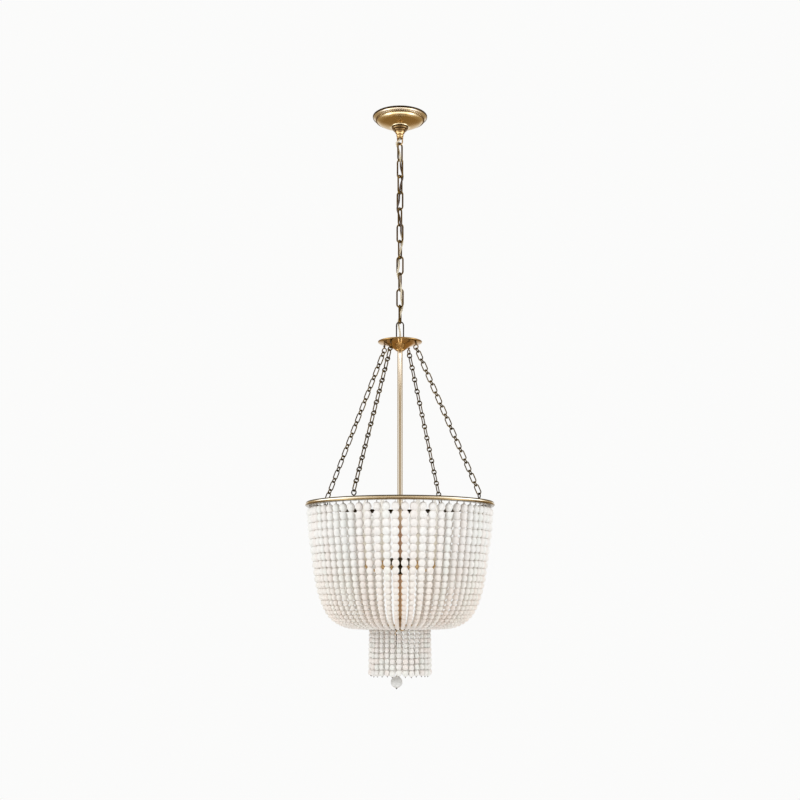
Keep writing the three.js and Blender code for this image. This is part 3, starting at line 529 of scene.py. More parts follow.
# The second colour is the painted shade where the beads meet.
whiteBead = beadFinish("whiteWashedBead", (0.44, 0.37, 0.31), 0.62)
fringeBead = beadFinish("fringeBead", (0.24, 0.21, 0.18), 0.78)
champagneCord = cordFinish(cordLook)
candleCream = paleFinish("candleSleeve", candleLook)
frostedBulb = paleFinish("frostedBulb", bulbLook)
frostedBall = paleFinish("frostedBall", ballLook)
print("materials made")


# Ceiling end: the crossbar, its screws and the nipple keep their CAD shapes, with their edges eased.
easing = {"pieces": ("ceiling_crossbar", "crossbar_screw_1", "crossbar_screw_2", "threaded_nipple"),
          "width": 0.0003}
for name in easing["pieces"]:
    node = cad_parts[name]
    node.data.materials.clear()
    node.data.materials.append(satinSteel)
    eased = node.modifiers.new("easedEdges", "BEVEL")
    eased.width = easing["width"]
    eased.limit_method = "ANGLE"

# A turned body has a pair of values: how far its corners are softened, and its sides.
canopy = {"dish": (0.7, 96), "rim": (0.5, 96), "ropeCircle": 62.4, "ropeDrop": 10.4, "ropeThickness": 2.1,
          "ropeTwists": 66, "ropeGroove": 0.2, "ropeSides": 10, "samplesPerTwist": 6}
dishOutside = [(70.9, 0), (70.9, 3.4), (70.6, 3.8), (70, 4), (69.2, 4.4), (68.2, 5.4), (66.4, 6.8), (64.2, 8),
               (63, 9.4), (61.2, 12), (57.6, 15.2), (53, 18.2), (48.2, 20.5), (43, 22.5), (38, 24),
               (33, 25.2), (28.8, 26.1), (25.6, 27.1), (24.2, 28.2), (24, 29), (14.2, 29)]
dishInside = [(14.2, 27.5), (22, 27.4), (28, 24.7), (37, 22.5), (47, 18.8), (56, 13.8), (62, 7.6),
              (67.5, 4.4), (70.3, 2.4), (70.5, 0)]
rimOutline = [(71, 0), (71.6, 0), (72, 0.8), (72, 3.2), (71.4, 4.2), (70.4, 4.4), (70.4, 1)]


def ropeRing(values):
    # A ring of r = circle + p cos b and z = p sin b - drop. Its thickness, p = t (1 + groove cos(2b + n a)),
    # winds n times round the dish.
    sides, count = values["ropeSides"], values["ropeTwists"] * values["samplesPerTwist"]
    a = (np.arange(count) * 2 * np.pi / count)[:, None]
    b = (np.arange(sides) * 2 * np.pi / sides)[None, :]
    p = values["ropeThickness"] * (1 + values["ropeGroove"] * np.cos(2 * b + values["ropeTwists"] * a))
    r = values["ropeCircle"] + p * np.cos(b)
    points = polar(r, a, p * np.sin(b) - values["ropeDrop"]).reshape(-1, 3)
    return outward(points, gridFaces(count, sides, True, True), noTriangles)


canopyTop = highest("canopy")
dish = spun(dishOutside + dishInside, canopyTop, *canopy["dish"], steps=4)
addPiece("canopy_dish", dish, dishBrass, "canopy_cover", ["canopy"])
addPiece("canopy_rope", ropeRing(canopy), agedBrass, "canopy_cover")
addPiece("canopy_rim", spun(rimOutline, canopyTop, *canopy["rim"]), darkBronze, "canopy_cover")

collar = {"body": (0.35, 256), "ribs": 64, "ribDepth": 0.012, "ribsFrom": 20.6, "ribsFade": 0.8}
collarOutline = [(13.6, 0), (19.6, 0), (20.8, 0.6), (21.5, 1.8), (21.4, 3.2), (20.6, 4.6), (18.8, 5.4),
                 (17.2, 5.6), (16.6, 6), (17.2, 6.4), (18, 7.2), (17.6, 8.4), (16, 9.4), (13.6, 9.4)]


def knurl(ring, angle, values=collar):
    # Fine ribs on the wide rim only: the radius times 1 - depth (1 + cos(n a)) / 2.
    rim = np.clip((ring[:, :1] - values["ribsFrom"]) / values["ribsFade"], 0, 1)
    return 1 - values["ribDepth"] * rim * (0.5 + 0.5 * np.cos(values["ribs"] * angle))


collarPart = spun(collarOutline, highest("screw_collar"), *collar["body"], ripple=knurl)
addPiece("screw_collar_turned", collarPart, collarBrass, "canopy_collar", ["screw_collar"])
print("canopy made")


# Upper chain: the canopy loop, the links and the cord through them.
chain = {"count": 11, "width": 21, "wire": 4.4, "loopTurn": -20, "firstTurn": -40, "lastTurn": -14,
         "samples": 56, "sides": 14}
chain["length"] = highest("chain_link_01") - lowest("chain_link_01")
chain["pitch"] = lowest("chain_link_01") - lowest("chain_link_02")
chain["first"] = (highest("chain_link_01") + lowest("chain_link_01")) / 2


def twist(number, values=chain):
    # The hanging chain's twist: number 0 is the canopy loop, and the one after the last is the crown loop.
    if number > values["count"]:
        return 0.0
    share = (number - 1) / (values["count"] - 1)
    degrees = values["firstTurn"] + share * (values["lastTurn"] - values["firstTurn"])
    return math.radians(values["loopTurn"] if number == 0 else degrees)


loop = {"wire": 3.5, "radius": 6.75, "bodyLength": 38, "legIn": 0.8, "body": (0.4, 64), "wireSides": 14}
loopBodyOutline = [(5.3, 0), (13, 0), (13, 17.6), (12.9, 20), (12.6, 22), (11.6, 24.2), (9.4, 26.2),
                   (8.7, 27.6), (9.6, 29.2), (9.7, 30.8), (8.2, 32.4), (7.1, 33.6), (8.5, 34.4), (8.6, 36),
                   (8.4, 37.8), (5.8, 38), (5.8, 12), (5.3, 12)]


def bow(radius, legTop, arcCentre, arcCount=25, legCount=5):
    # A leg down, the half circle (r cos a, 0, centre + r sin a) and a leg up, in the XZ plane.
    angle = np.pi + np.linspace(0, np.pi, arcCount)
    arc = xyz(radius * np.cos(angle), 0, arcCentre + radius * np.sin(angle))
    left = xyz(-radius, 0, np.linspace(legTop, arcCentre, legCount + 1)[:-1])
    right = left[::-1] * [-1, 1, 1]
    return np.concatenate([left, arc, right])


loopMouth = highest("canopy_loop") - loop["bodyLength"]
loopArc = lowest("canopy_loop") + loop["wire"] / 2 + loop["radius"]
canopyBow = tube(bow(loop["radius"], loopMouth + loop["legIn"], loopArc), loop["wire"] / 2, loop["wireSides"])
loopBody = spun(loopBodyOutline, highest("canopy_loop"), *loop["body"])
addPiece("canopy_loop_turned", moved(merged([loopBody, canopyBow]), turn=twist(0)), antiqueBrass,
         "ceiling_mount", ["canopy_loop"])


def ovalLink(length, width, wire, count, sides):
    # Ring in the XZ plane, its wire a circle carried round the oval.
    return tube(stadium(length - wire, width - wire, count), wire / 2, sides, closed=True, guide=(0, 1, 0))


link = ovalLink(chain["length"], chain["width"], chain["wire"], chain["samples"], chain["sides"])
for number in range(1, chain["count"] + 1):
    turn = twist(number) + (math.pi / 2 if number % 2 else 0)
    place = (0, 0, chain["first"] - (number - 1) * chain["pitch"])
    addPiece(f"upper_link_{number:02d}", moved(link, place, turn), chainBronze,
             "top_link" if number == 1 else "upper_chain", [f"chain_link_{number:02d}"])

cord = {"radius": 2.4, "corner": 5.3, "middle": 3, "bend": 15, "overCrown": 20, "sides": 10,
        "fineSamples": 40, "samples": 14}
crownTop = highest("crown_disc")


def cordPoint(halfLinks):
    # A quarter turn round the twisting chain for each link: between two links the cord keeps its distance
    # from both wires, and in a link's middle it crosses that link.
    above, below = halfLinks // 2, (halfLinks + 2) // 2
    between = halfLinks % 2 == 0
    turn = (twist(above) + twist(below)) / 2 if between else twist(above + 1)
    halfAngle = math.pi / 4 + (twist(below) - twist(above)) / 2
    angle = math.pi * (-3 / 4 + halfLinks / 4) + turn
    reach = cord["corner"] / math.sin(halfAngle) if between else cord["middle"]
    z = chain["first"] + chain["pitch"] * (1 - halfLinks) / 2
    return (reach * math.cos(angle), reach * math.sin(angle), z)


def supplyCord(values):
    # A tube along the curve through the loop's mouth, the points beside the links and the crown's neck.
    besideLoop = np.array([[-values["radius"] / 2, -values["corner"], loopMouth - 2 * loop["wire"]]])
    route = [(0, 0, loopMouth + values["radius"]), (0, 0, loopMouth),
             moved((besideLoop, 0, 0), turn=twist(0))[0][0]]
    route += [cordPoint(half) for half in range(2 * chain["count"] + 1)]
    route += [(0, 0, crownTop + values["overCrown"]), (0, 0, crownTop - values["radius"])]
    fine = smoothPath(route, values["fineSamples"] * len(route))
    return tube(evenPath(fine, values["samples"] * len(route)), values["radius"], values["sides"])


# The sleeve runs through the first link into the second; it is handed both links and a bend between them, and
# stays where it is.
bendPlace = lowest("supply_cord_top") * metres
bend = cord["bend"] * metres
addPiece("supply_cord_sleeve", supplyCord(cord), champagneCord,
         ("top_link", "upper_chain", (0, 0, bendPlace + bend), (0, 0, bendPlace - bend)),
         ["supply_cord_top", "supply_cord"])
print("chain and cord made")


# Crown: the loop, the disc with its neck and screw eyes, and the centre rod.
crown = {"wire": 3.4, "loopRadius": 9.3, "legIn": 3.5, "wireSides": 14, "washer": (1, 48), "disc": (0.7, 96),
         "rodEdge": 0.3, "rodSides": 40}
eyes = {"circle": 48, "drop": 22.5, "radius": 6.4, "wire": 3.2, "stemTop": 4, "stemFoot": 8,
        "stemSides": 10, "nutSides": 12}
hoop = {"eyeCircle": 232, "height": 10.6, "edge": 0.4, "sides": 192, "chains": 4, "firstTurn": -29.5}
eyeHeight = crownTop - eyes["drop"]
stapleHeight = highest("hoop") - eyes["radius"] - eyes["wire"] / 2
chainTurns = np.radians(hoop["firstTurn"]) + 2 * np.pi / hoop["chains"] * np.arange(hoop["chains"])
chainEnd = np.array([hoop["eyeCircle"] - eyes["circle"], stapleHeight + eyes["radius"] - eyeHeight])
chainTilt = math.atan2(-chainEnd[0], -chainEnd[1])

crownArc = highest("crown_loop") - crown["wire"] / 2 - crown["loopRadius"]
crownLine = bow(crown["loopRadius"], -crownTop - crown["legIn"], -crownArc) * [1, 1, -1]
crownBow = tube(crownLine, crown["wire"] / 2, crown["wireSides"])
washer = spun([(8, -4.3), (8, -0.3), (14, -0.3), (14, -4.3)], crownTop, *crown["washer"], steps=4)
addPiece("crown_loop_bow", merged([crownBow, washer]), darkBronze, "fixture", ["crown_loop"])

discOutline = [(8, 0), (30, 0.6), (48, 1.6), (55, 2.4), (58, 3.2), (58.6, 4.4), (58.2, 5.8), (56.6, 6.8),
               (52, 8), (45, 9.5), (38, 11.4), (32, 13.8), (26.5, 16.6), (21.5, 19.7), (17.4, 22.7),
               (14.4, 24.5), (12.8, 25.4), (12.4, 26.5), (10.6, 27.7), (10, 28.5), (7.2, 28.5), (7.2, 13.7),
               (8, 13.7)]
nutOutline = [(0, 8.6), (2.6, 8.6), (3.2, 9.2), (3.2, 11.4), (2.6, 12), (0, 12)]


def ring(radius, wire, count=20, sides=8):
    # A round eye in the XZ plane, its wire a circle carried round it.
    return tube(stadium(2 * radius, 2 * radius, count), wire / 2, sides, closed=True)


def screwEyes(values):
    # Four eyes under the disc, each in line with its chain, on a stem that goes up through a nut.
    wire, foot, top = values["wire"], values["stemFoot"], values["drop"] - values["stemTop"]
    eye = moved(ring(values["radius"], wire), tilt=chainTilt)
    stem = turned([(0, foot), (wire / 2, foot), (wire / 2, top), (0, top)], values["stemSides"])
    nut = turned(nutOutline, values["nutSides"])
    one = moved(merged([eye, stem, nut]), (values["circle"], 0, eyeHeight))
    return merged(allRound(one, chainTurns))


addPiece("crown_disc_turned", spun(discOutline, crownTop, *crown["disc"]), crownBrass, "fixture",
         ["crown_disc"])
addPiece("crown_screw_eyes", screwEyes(eyes), chainBronze, "fixture")
rodTop, rodFoot = highest("centre_rod"), lowest("centre_rod")
rodOutline = soft([(4.6, rodTop), (6.9, rodTop), (6.9, rodFoot), (4.6, rodFoot)], crown["rodEdge"])
addPiece("centre_rod_tube", turned(rodOutline, crown["rodSides"]), rodBrass, "fixture",
         ["centre_rod"])

slanted = {"pairs": 13, "wire": 3.2, "roundWidth": 16.1, "longWidth": 15, "roundSamples": 16,
           "longSamples": 20, "sides": 8}


def slantedChain(values):
    # Round links across the slope and oval links along it, each hung in the one above, from eye to staple.
    wire, sides = values["wire"], values["sides"]
    start = eyes["radius"] - wire
    pitch = (np.linalg.norm(chainEnd) - start) / values["pairs"]
    roundLink = ring((values["roundWidth"] - wire) / 2, wire, values["roundSamples"], sides)
    roundReach = values["roundWidth"] - wire
    longReach = pitch - roundReach + 2 * wire
    longLink = ovalLink(longReach + wire, values["longWidth"], wire, values["longSamples"], sides)
    parts = []
    for i in range(values["pairs"]):
        top = -start - i * pitch
        parts.append(moved(roundLink, (0, 0, top - roundReach / 2), turn=math.pi / 2))
        parts.append(moved(longLink, (0, 0, top - roundReach + wire - longReach / 2)))
    return moved(moved(merged(parts), tilt=chainTilt), (eyes["circle"], 0, eyeHeight))


hangingChain = slantedChain(slanted)
for i, turn in enumerate(chainTurns):
    addPiece(f"slanted_chain_{i + 1}", moved(hangingChain, turn=turn), slantedBronze, "fixture",
             [f"suspension_chain_{i + 1}"])
print("crown and slanted chains made")


# Hoop: a pressed band, open inside, with a staple for each chain.
hoopTop = lowest("hoop") + hoop["height"]
hoopOutline = [(229, 0), (247.2, 0), (248, 0.4), (248.4, 1.2), (248.2, 2.6), (248.4, 3.2), (249.6, 5.4),
               (250, 6.2), (249.9, 7.8), (249.2, 9.2), (247.8, 10.3), (246.6, 10.6), (229, 10.6), (229, 8.6),
               (246, 8.6), (246, 2), (229, 2)]
# A thin dark lining over the band's open channel: painted shade on its inner faces.
shadeLiner = [(228.8, 0), (229.2, 0), (229.2, 1.8), (246.2, 1.8), (246.2, 8.8), (229.2, 8.8), (229.2, 10.6),
         (228.8, 10.6), (228.8, 8.4), (245.8, 8.4), (245.8, 2.2), (228.8, 2.2)]
stapleFoot = [(0, -9.6), (3.4, -9.6), (3.4, -8.8), (2, -8), (1.4, -6.4), (0, -6.4)]


def hoopStaples(values):
    # An eye on a small foot for each chain, like the screw eyes but across the chain's turn.
    eye = moved(ring(values["radius"], values["wire"]), turn=math.pi / 2)
    foot = turned(stapleFoot, values["nutSides"])
    one = moved(merged([eye, foot]), (hoop["eyeCircle"], 0, stapleHeight))
    return merged(allRound(one, chainTurns))


hoopBrass = metalFinish(
    "hoopBrass", *brassTones, roughness=(0.16, 0.24), brush=(1, 1, 7), coat=0.1,
    paintedLightBands=(lowest("hoop") * metres, hoopTop * metres,  # painted shade on the foot and the upper edge, a painted highlight on the face
           ((0, (0.14, 0.10, 0.04)), (0.22, (0.20, 0.14, 0.06)), (0.38, (0.7, 0.56, 0.34)),
            (0.46, (1, 0.97, 0.84)), (0.68, (1, 0.97, 0.84)), (0.73, (0.03, 0.022, 0.01)),
            (1, (0.02, 0.015, 0.007)))))
addPiece("hoop_band", spun(hoopOutline, hoopTop, hoop["edge"], hoop["sides"]), hoopBrass, "fixture",
         ["hoop"])
addPiece("hoop_staples", hoopStaples(eyes), darkBronze, "fixture")
addPiece("hoop_inside_shade", turned(hung(shadeLiner, hoopTop), hoop["sides"]), darkBronze, "fixture")


# Bead bowl: graduated strands in panels.
bowl = {"panels": 8, "strands": 8, "circle": 238, "firstBead": 6.3, "wider": 1.0, "room": 0.86,
        "roundness": 0.96, "strayTurn": 0.25, "strayHeight": 0.6, "overlapBeads": [0, 13, 26],
        "overlapShares": [1.13, 1.1, 1.0], "ownTone": 0.4, "wireTone": 0.5, "seed": 40,
        "samples": 1200, "wireEvery": 60, "wireRadius": 0.7, "wireSides": 5, "hookDrop": 3.1,
        "hook": (2.2, 1.1, 12, 6),  # radius, wire, samples and sides
        "sizes": [19.9, 20, 20.1, 20, 19.8, 19.4, 19.2, 18.8, 18.2, 17.2, 16.4, 15.8, 15.2, 14, 13.2,
                  12.8, 12.4, 12, 11.6, 11.2, 10.8, 10.4, 10, 9.6, 9.2, 8.8, 8.4]}
bowlTop = highest("bead_panel_1")
bowlLine = hung([(238, 2), (235.6, 34.1), (232.9, 76.1), (229, 103.1), (224.4, 139.1), (219.8, 174.6),
                 (214.5, 208.1), (207, 239.1), (197.6, 266.1), (184.4, 287.6), (168.6, 302.1), (150.5, 311.6),
                 (131.5, 316.7), (106, 318.3), (83.4, 316.7)], bowlTop)


def strandBeads(values):
    # Beads in a row on the strand's curve, each as long as its share of the curve and a little wider than
    # long. Where the strands gather, a bead is as wide as its room on the circle.
    path = evenPath(smoothPath([(r, 0, z) for r, z in bowlLine], values["samples"]), values["samples"])
    run = np.linspace(0, np.linalg.norm(np.diff(path, axis=0), axis=1).sum(), len(path))
    begin = run[np.argmax(path[:, 2] < bowlTop - values["firstBead"])]
    sizes = np.array(values["sizes"])
    sizes = sizes * (run[-1] - begin) / sizes.sum()
    middles = begin + np.cumsum(sizes) - sizes / 2
    at = lambda where: np.stack([np.interp(where, run, path[:, axis]) for axis in range(3)], axis=-1)
    centres = at(middles)
    axes = at(middles + sizes / 2) - at(middles - sizes / 2)
    axes /= np.linalg.norm(axes, axis=1)[:, None]
    room = 2 * np.pi * centres[:, 0] / (values["panels"] * values["strands"]) * values["room"]
    across = np.minimum(sizes * values["wider"], room)
    overlap = np.interp(np.arange(len(sizes)), values["overlapBeads"], values["overlapShares"])
    return path, centres, across / 2, axes, sizes / across * overlap


def bowlPanel(values, seed):
    # One strand with its wire and hook, repeated over a panel with a stray turn and height each.
    random = np.random.default_rng(seed)
    path, centres, radii, axes, stretch = strandBeads(values)
    step = 2 * np.pi / (values["panels"] * values["strands"])
    beadPart = ball(centres, radii, axes, stretch, roundness=values["roundness"])
    wirePart = tube(path[::values["wireEvery"]], values["wireRadius"], values["wireSides"])
    hook = moved(ring(*values["hook"]), (values["circle"], 0, bowlTop - values["hookDrop"]))
    strand = merged([beadPart, wirePart, hook])
    count = values["strands"]
    stray = np.radians(values["strayTurn"]) * random.uniform(-1, 1, count)
    heights = values["strayHeight"] * random.uniform(-1, 1, count)
    turns = step * (np.arange(count) - (count - 1) / 2) + stray
    strands = [moved(strand, (0, 0, height), turn) for turn, height in zip(turns, heights)]
    pointsPerBead = len(beadPart[0]) // len(centres)
    ownShare = values["ownTone"]
    tone = [np.concatenate([np.repeat(whole + ownShare * random.random(len(centres)), pointsPerBead),
                            np.full(len(wirePart[0]) + len(hook[0]), values["wireTone"])])
            for whole in (1 - ownShare) * random.random(count)]
    return merged(strands), np.concatenate(tone)


for i in range(bowl["panels"]):
    part, tone = bowlPanel(bowl, bowl["seed"] + i)
    turn = (i + 0.5) * 2 * np.pi / bowl["panels"]
    addPiece(f"bowl_strands_{i + 1}", moved(part, turn=turn), whiteBead, "fixture",
             [f"bead_panel_{i + 1}"], sharp=180, tone=tone)
print("bowl made")


# Lamps: the hub, the arms with their pans, the candle sleeves and the bulbs.
lamps = {"count": 6, "circle": 92, "arm": 3.4, "seat": 0.3, "armSamples": 40, "armSides": 12,
         "hub": (0.8, 56), "pan": (0.5, 40), "flame": (1, 28), "sleeveEdge": 0.3, "sleeveSides": 32,
         "capSides": 24, "threadRadius": 8.2, "threadDepth": 0.6, "threadTop": 114.1, "threadStep": 1.4,
         "threadPoints": 8}
lampTurns = 2 * np.pi * np.arange(lamps["count"]) / lamps["count"]
hubOutline = [(7.2, 0), (20, 0.2), (26, 1.8), (27, 4.4), (27, 17.4), (25, 20), (18, 25.4), (16.4, 29.4),
              (13, 35.4), (11.6, 40.4), (11, 45), (7.2, 45)]
addPiece("lamp_hub", spun(hubOutline, highest("lamp_cluster"), *lamps["hub"]), darkBronze, "fixture",
         ["lamp_cluster"])

armLine = [(24, 0, -5.5), (34, 0, -8.9), (45, 0, -14.3), (62, 0, -21.5), (78, 0, -19.5), (88, 0, -13.9),
           (92, 0, -6.9)]
panOutline = [(0, 0), (15, 0), (18, -0.5), (19.4, -1.5), (20, -0.9), (19.2, 0.9), (16.4, 3.5), (13, 5.7),
              (8, 7.5), (6.4, 9.3), (5.6, 11), (0, 11)]
pan = moved(spun(panOutline, 0, *lamps["pan"], closed=False), (lamps["circle"], 0, 0))
arm = tube(smoothPath(armLine, lamps["armSamples"]), lamps["arm"], lamps["armSides"])
branch = moved(merged([arm, pan]), (0, 0, lowest("candle_sleeve_1") - lamps["seat"]))
addPiece("lamp_arms", merged(allRound(branch, lampTurns)), antiqueBrass, "fixture")

sleeveTop, sleeveFoot = highest("candle_sleeve_1"), lowest("candle_sleeve_1")
bulbTop = highest("candle_bulb_1")
sleeveOutline = [(11.1, sleeveFoot), (12.5, sleeveFoot), (12.5, sleeveTop), (11.1, sleeveTop)]
threads = [(lamps["threadRadius"] + lamps["threadDepth"] * (n % 2),
            lamps["threadTop"] - lamps["threadStep"] * n) for n in range(lamps["threadPoints"])]
capOutline = [(0, 119), (6, 119), (7.5, 117.5), (8.6, 115.5), *threads, (9.8, 100.5), (10, 95.5), (0, 95.5)]
flameOutline = [(0, 95), (10.4, 95), (12.6, 93.9), (15.4, 87.5), (17, 78.5), (17.5, 70.5), (17, 60.5),
                (15.6, 48.5), (13, 34.5), (9.8, 22.5), (6.4, 12.5), (3.6, 5.9), (1.6, 1.5), (0, 0)]
sleeve = turned(soft(sleeveOutline, lamps["sleeveEdge"]), lamps["sleeveSides"])
flame = spun(flameOutline, bulbTop, *lamps["flame"], closed=False)
cap = turned(hung(capOutline, bulbTop), lamps["capSides"])
for i, turn in enumerate(lampTurns):
    place = (lamps["circle"] * math.cos(turn), lamps["circle"] * math.sin(turn), 0)
    addPiece(f"sleeve_{i + 1}", moved(sleeve, place), candleCream, "fixture",
             [f"candle_sleeve_{i + 1}"])
    addPiece(f"bulb_glass_{i + 1}", moved(flame, place), frostedBulb, f"bulb_{i + 1}",
             [f"candle_bulb_{i + 1}"], sharp=60)
    addPiece(f"bulb_cap_{i + 1}", moved(cap, place), antiqueBrass, f"bulb_{i + 1}")
print("lamps made")


# The lower ring on its spokes, and the cap under it.
lowRing = {"ring": (0.6, 96), "hub": (0.6, 40), "spokes": 4, "spokeKnots": (10, 40, 76), "spokeDrop": 4,
           "spokeRadius": 2.2, "spokeSides": 12}
ringTop = highest("lower_ring")
ringOutline = [(74, 0), (79, 0), (80, 1), (80, 7), (79, 8), (74, 8)]
ringHub = [(7.2, 0), (11, 0), (12, 1), (12, 7), (11, 8), (7.2, 8)]
spoke = tube([(out, 0, ringTop - lowRing["spokeDrop"]) for out in lowRing["spokeKnots"]],
             lowRing["spokeRadius"], lowRing["spokeSides"])
lowerRing = [spun(ringOutline, ringTop, *lowRing["ring"]), spun(ringHub, ringTop, *lowRing["hub"])]
lowerRing += allRound(spoke, 2 * np.pi / lowRing["spokes"] * np.arange(lowRing["spokes"]))
addPiece("lower_ring_turned", merged(lowerRing), antiqueBrass, "fixture", ["lower_ring"])

finial = {"offset": -9, "eye": 5, "wire": 1.8, "eyeDrop": 13.8, "linkWidth": 8, "linkSamples": 28,
          "linkSides": 8, "ballRadius": 15.5, "ballSides": 40, "ballRings": 24, "tip": 3.8, "tipSides": 16,
          "stemSides": 12, "postSides": 10, "cap": (0.5, 40)}
besideRod = (finial["offset"], 0, 0)
capTop = highest("bottom_cap")
footOutline = [(0, 4.3), (7.2, 4.3), (7.2, 0), (14, 0), (14, 3.7), (13, 6.1), (10, 7.5), (0, 8)]
finialEye = ring(finial["eye"] - finial["wire"] / 2, finial["wire"])
capEye = moved(finialEye, (0, 0, capTop - finial["eyeDrop"]))
capPost = turned(hung([(0, 9.9), (0.9, 9.9), (0.9, 3.7), (0, 3.7)], capTop), finial["postSides"])
footCap = spun(footOutline, capTop, *finial["cap"], closed=False)
addPiece("bottom_cap_turned", merged([footCap, moved(merged([capEye, capPost]), besideRod)]), antiqueBrass,
         "fixture", ["bottom_cap"])


# Finial: its hook, then the stem, the ball and the tip under the ball.
linkTop, linkFoot = highest("finial_link"), lowest("finial_link")
finialHook = ovalLink(linkTop - linkFoot, finial["linkWidth"], finial["wire"], finial["linkSamples"],
                      finial["linkSides"])
finialHook = moved(finialHook, (finial["offset"], 0, (linkTop + linkFoot) / 2), turn=math.pi / 2)
addPiece("finial_hook", finialHook, darkBronze, "finial_hook", ["finial_link"])

dropTop = highest("finial_drop")
ballCentre = lowest("finial_drop") + finial["tip"] + finial["ballRadius"]
ballTop = ballCentre + finial["ballRadius"]
stemOutline = [(0, dropTop - 9), (1.4, dropTop - 9), (1.4, ballTop + 1), (2.6, ballTop + 0.6),
               (3, ballTop - 0.6), (0, ballTop - 0.6)]
tipOutline = hung([(0, 15), (2.8, 15.1), (3, 15.9), (1.8, 16.7), (0.9, 18.4), (0, 19.2)], ballCentre)
dropEye = moved(finialEye, (0, 0, dropTop - finial["eye"]))
stem = merged([dropEye, turned(stemOutline, finial["stemSides"])])
globe = ball([[0, 0, ballCentre]], [finial["ballRadius"]], [[0, 0, 1]], [1], finial["ballSides"],
             finial["ballRings"])  # centre, radius, axis and stretch
addPiece("finial_stem", moved(stem, besideRod), satinSteel, "finial")
addPiece("finial_tip", moved(turned(tipOutline, finial["tipSides"]), besideRod), darkBronze, "finial")
addPiece("finial_ball", moved(globe, besideRod), frostedBall, "finial", ["finial_drop"],
         sharp=180)


# Fringe: short strands in panels, each panel hung from an arc.
fringe = {"panels": 6, "strands": 5, "circle": 77, "firstBead": 2.6, "lastBead": 125.2, "strayTurn": 0.5,
          "straySlope": 0.011, "shorter": 3, "roundness": 0.96, "turn": 4, "overlap": 1.1, "seed": 90,
          "wire": 0.7, "wireSides": 6, "arcDrop": 1.9, "arcWire": 0.9, "arcPast": 0.03, "arcSamples": 16,
          "arcSides": 8, "postSides": 8, "sizes": [10, 10.5, 11, 11.6, 12.2, 12.8, 13.4, 14, 14.4]}
postOutline = [(0, 2.1), (0.8, 2.1), (0.8, 0.1), (0, 0.1)]
fringeTop = highest("fringe_panel_1")


def fringeStrand(values, length, slope):
    # Growing beads on a wire with a pointed end, which leans sideways by the slope as it goes down.
    sizes = np.array(values["sizes"])
    sizes = sizes * (length - values["firstBead"]) / sizes.sum()
    heights = fringeTop - values["firstBead"] - np.cumsum(sizes) + sizes / 2
    centres = xyz(0, 0, heights)
    beads = ball(centres, sizes / 2, np.tile([0, 0, -1.0], (len(sizes), 1)),
                 np.full(len(sizes), values["overlap"]), roundness=values["roundness"])
    pin = values["wire"]
    wire = turned(hung([(0, 1.3), (pin, 1.3), (pin, length), (1.6, length + 0.3), (1.5, length + 1.4),
                        (0.5, length + 3), (0, length + 3.3)], fringeTop), values["wireSides"])
    lean = lambda part: (part[0] + (fringeTop - part[0][:, 2:]) * [0, slope, 0], *part[1:])
    return lean(beads), lean(wire)


def fringePanel(values, seed):
    # Strands of stray length, turn and slope, hung from an arc of the lower ring between two posts.
    random = np.random.default_rng(seed)
    count = values["strands"]
    step = 2 * np.pi / (values["panels"] * count)
    even = step * (np.arange(count) - (count - 1) / 2)
    turns = even + np.radians(values["strayTurn"]) * random.uniform(-1, 1, count)
    lengths = values["lastBead"] - values["shorter"] * random.random(count)
    slopes = values["straySlope"] * random.uniform(-1, 1, count)
    # The outer two strands lean towards their own panel, clear of the neighbours.
    slopes[0], slopes[-1] = abs(slopes[0]), -abs(slopes[-1])
    turns[0], turns[-1] = max(turns[0], even[0]), min(turns[-1], even[-1])
    out = (values["circle"], 0, 0)
    beadParts, wires, tone = [], [], []
    for turn, length, slope in zip(turns, lengths, slopes):
        beads, wire = [moved(moved(part, out), turn=turn) for part in fringeStrand(values, length, slope)]
        beadParts.append(beads)
        wires.append(wire)
        tone.append(np.repeat(random.random(len(values["sizes"])), len(beads[0]) // len(values["sizes"])))
    angle = np.linspace(even[0] - values["arcPast"], even[-1] + values["arcPast"], values["arcSamples"])
    arc = polar(values["circle"], angle, fringeTop - values["arcDrop"])
    post = moved(turned(hung(postOutline, fringeTop), values["postSides"]), out)
    wires.append(tube(arc, values["arcWire"], values["arcSides"], guide=(0, 0, 1)))
    wires += allRound(post, (even[0], even[-1]))
    return merged(beadParts), merged(wires), np.concatenate(tone)


for i in range(fringe["panels"]):
    beads, wires, tone = fringePanel(fringe, fringe["seed"] + i)
    panelTurn = math.radians(fringe["turn"]) + i * 2 * np.pi / fringe["panels"]
    addPiece(f"fringe_strands_{i + 1}", moved(beads, turn=panelTurn), fringeBead, f"fringe_{i + 1}",
             [f"fringe_panel_{i + 1}"], sharp=180, tone=tone)
    addPiece(f"fringe_wires_{i + 1}", moved(wires, turn=panelTurn), darkBronze, f"fringe_{i + 1}")
print("fringe and finial made")


# Floor, lamps and world.
floorLook = {"height": -2.3, "radius": 2.8, "sides": 96,
             "fixed": {"Base Color": (0.93, 0.93, 0.925), "Roughness": 0.9}}
panels = {"softLeft": ((-2.2, -1.9, 0.1), (0, 0, -0.8), (0.9, 2.4), 42),  # place, target, size and power
          "softRight": ((2.3, -1.6, 0.0), (0, 0, -0.8), (0.9, 2.4), 34),
          "softTop": ((0, 0.6, 1.6), (0, 0, -0.9), (2.0, 2.0), 20),
          "softBack": ((0.3, 2.6, -0.4), (0, 0, -1.0), (1.8, 1.8), 24)}
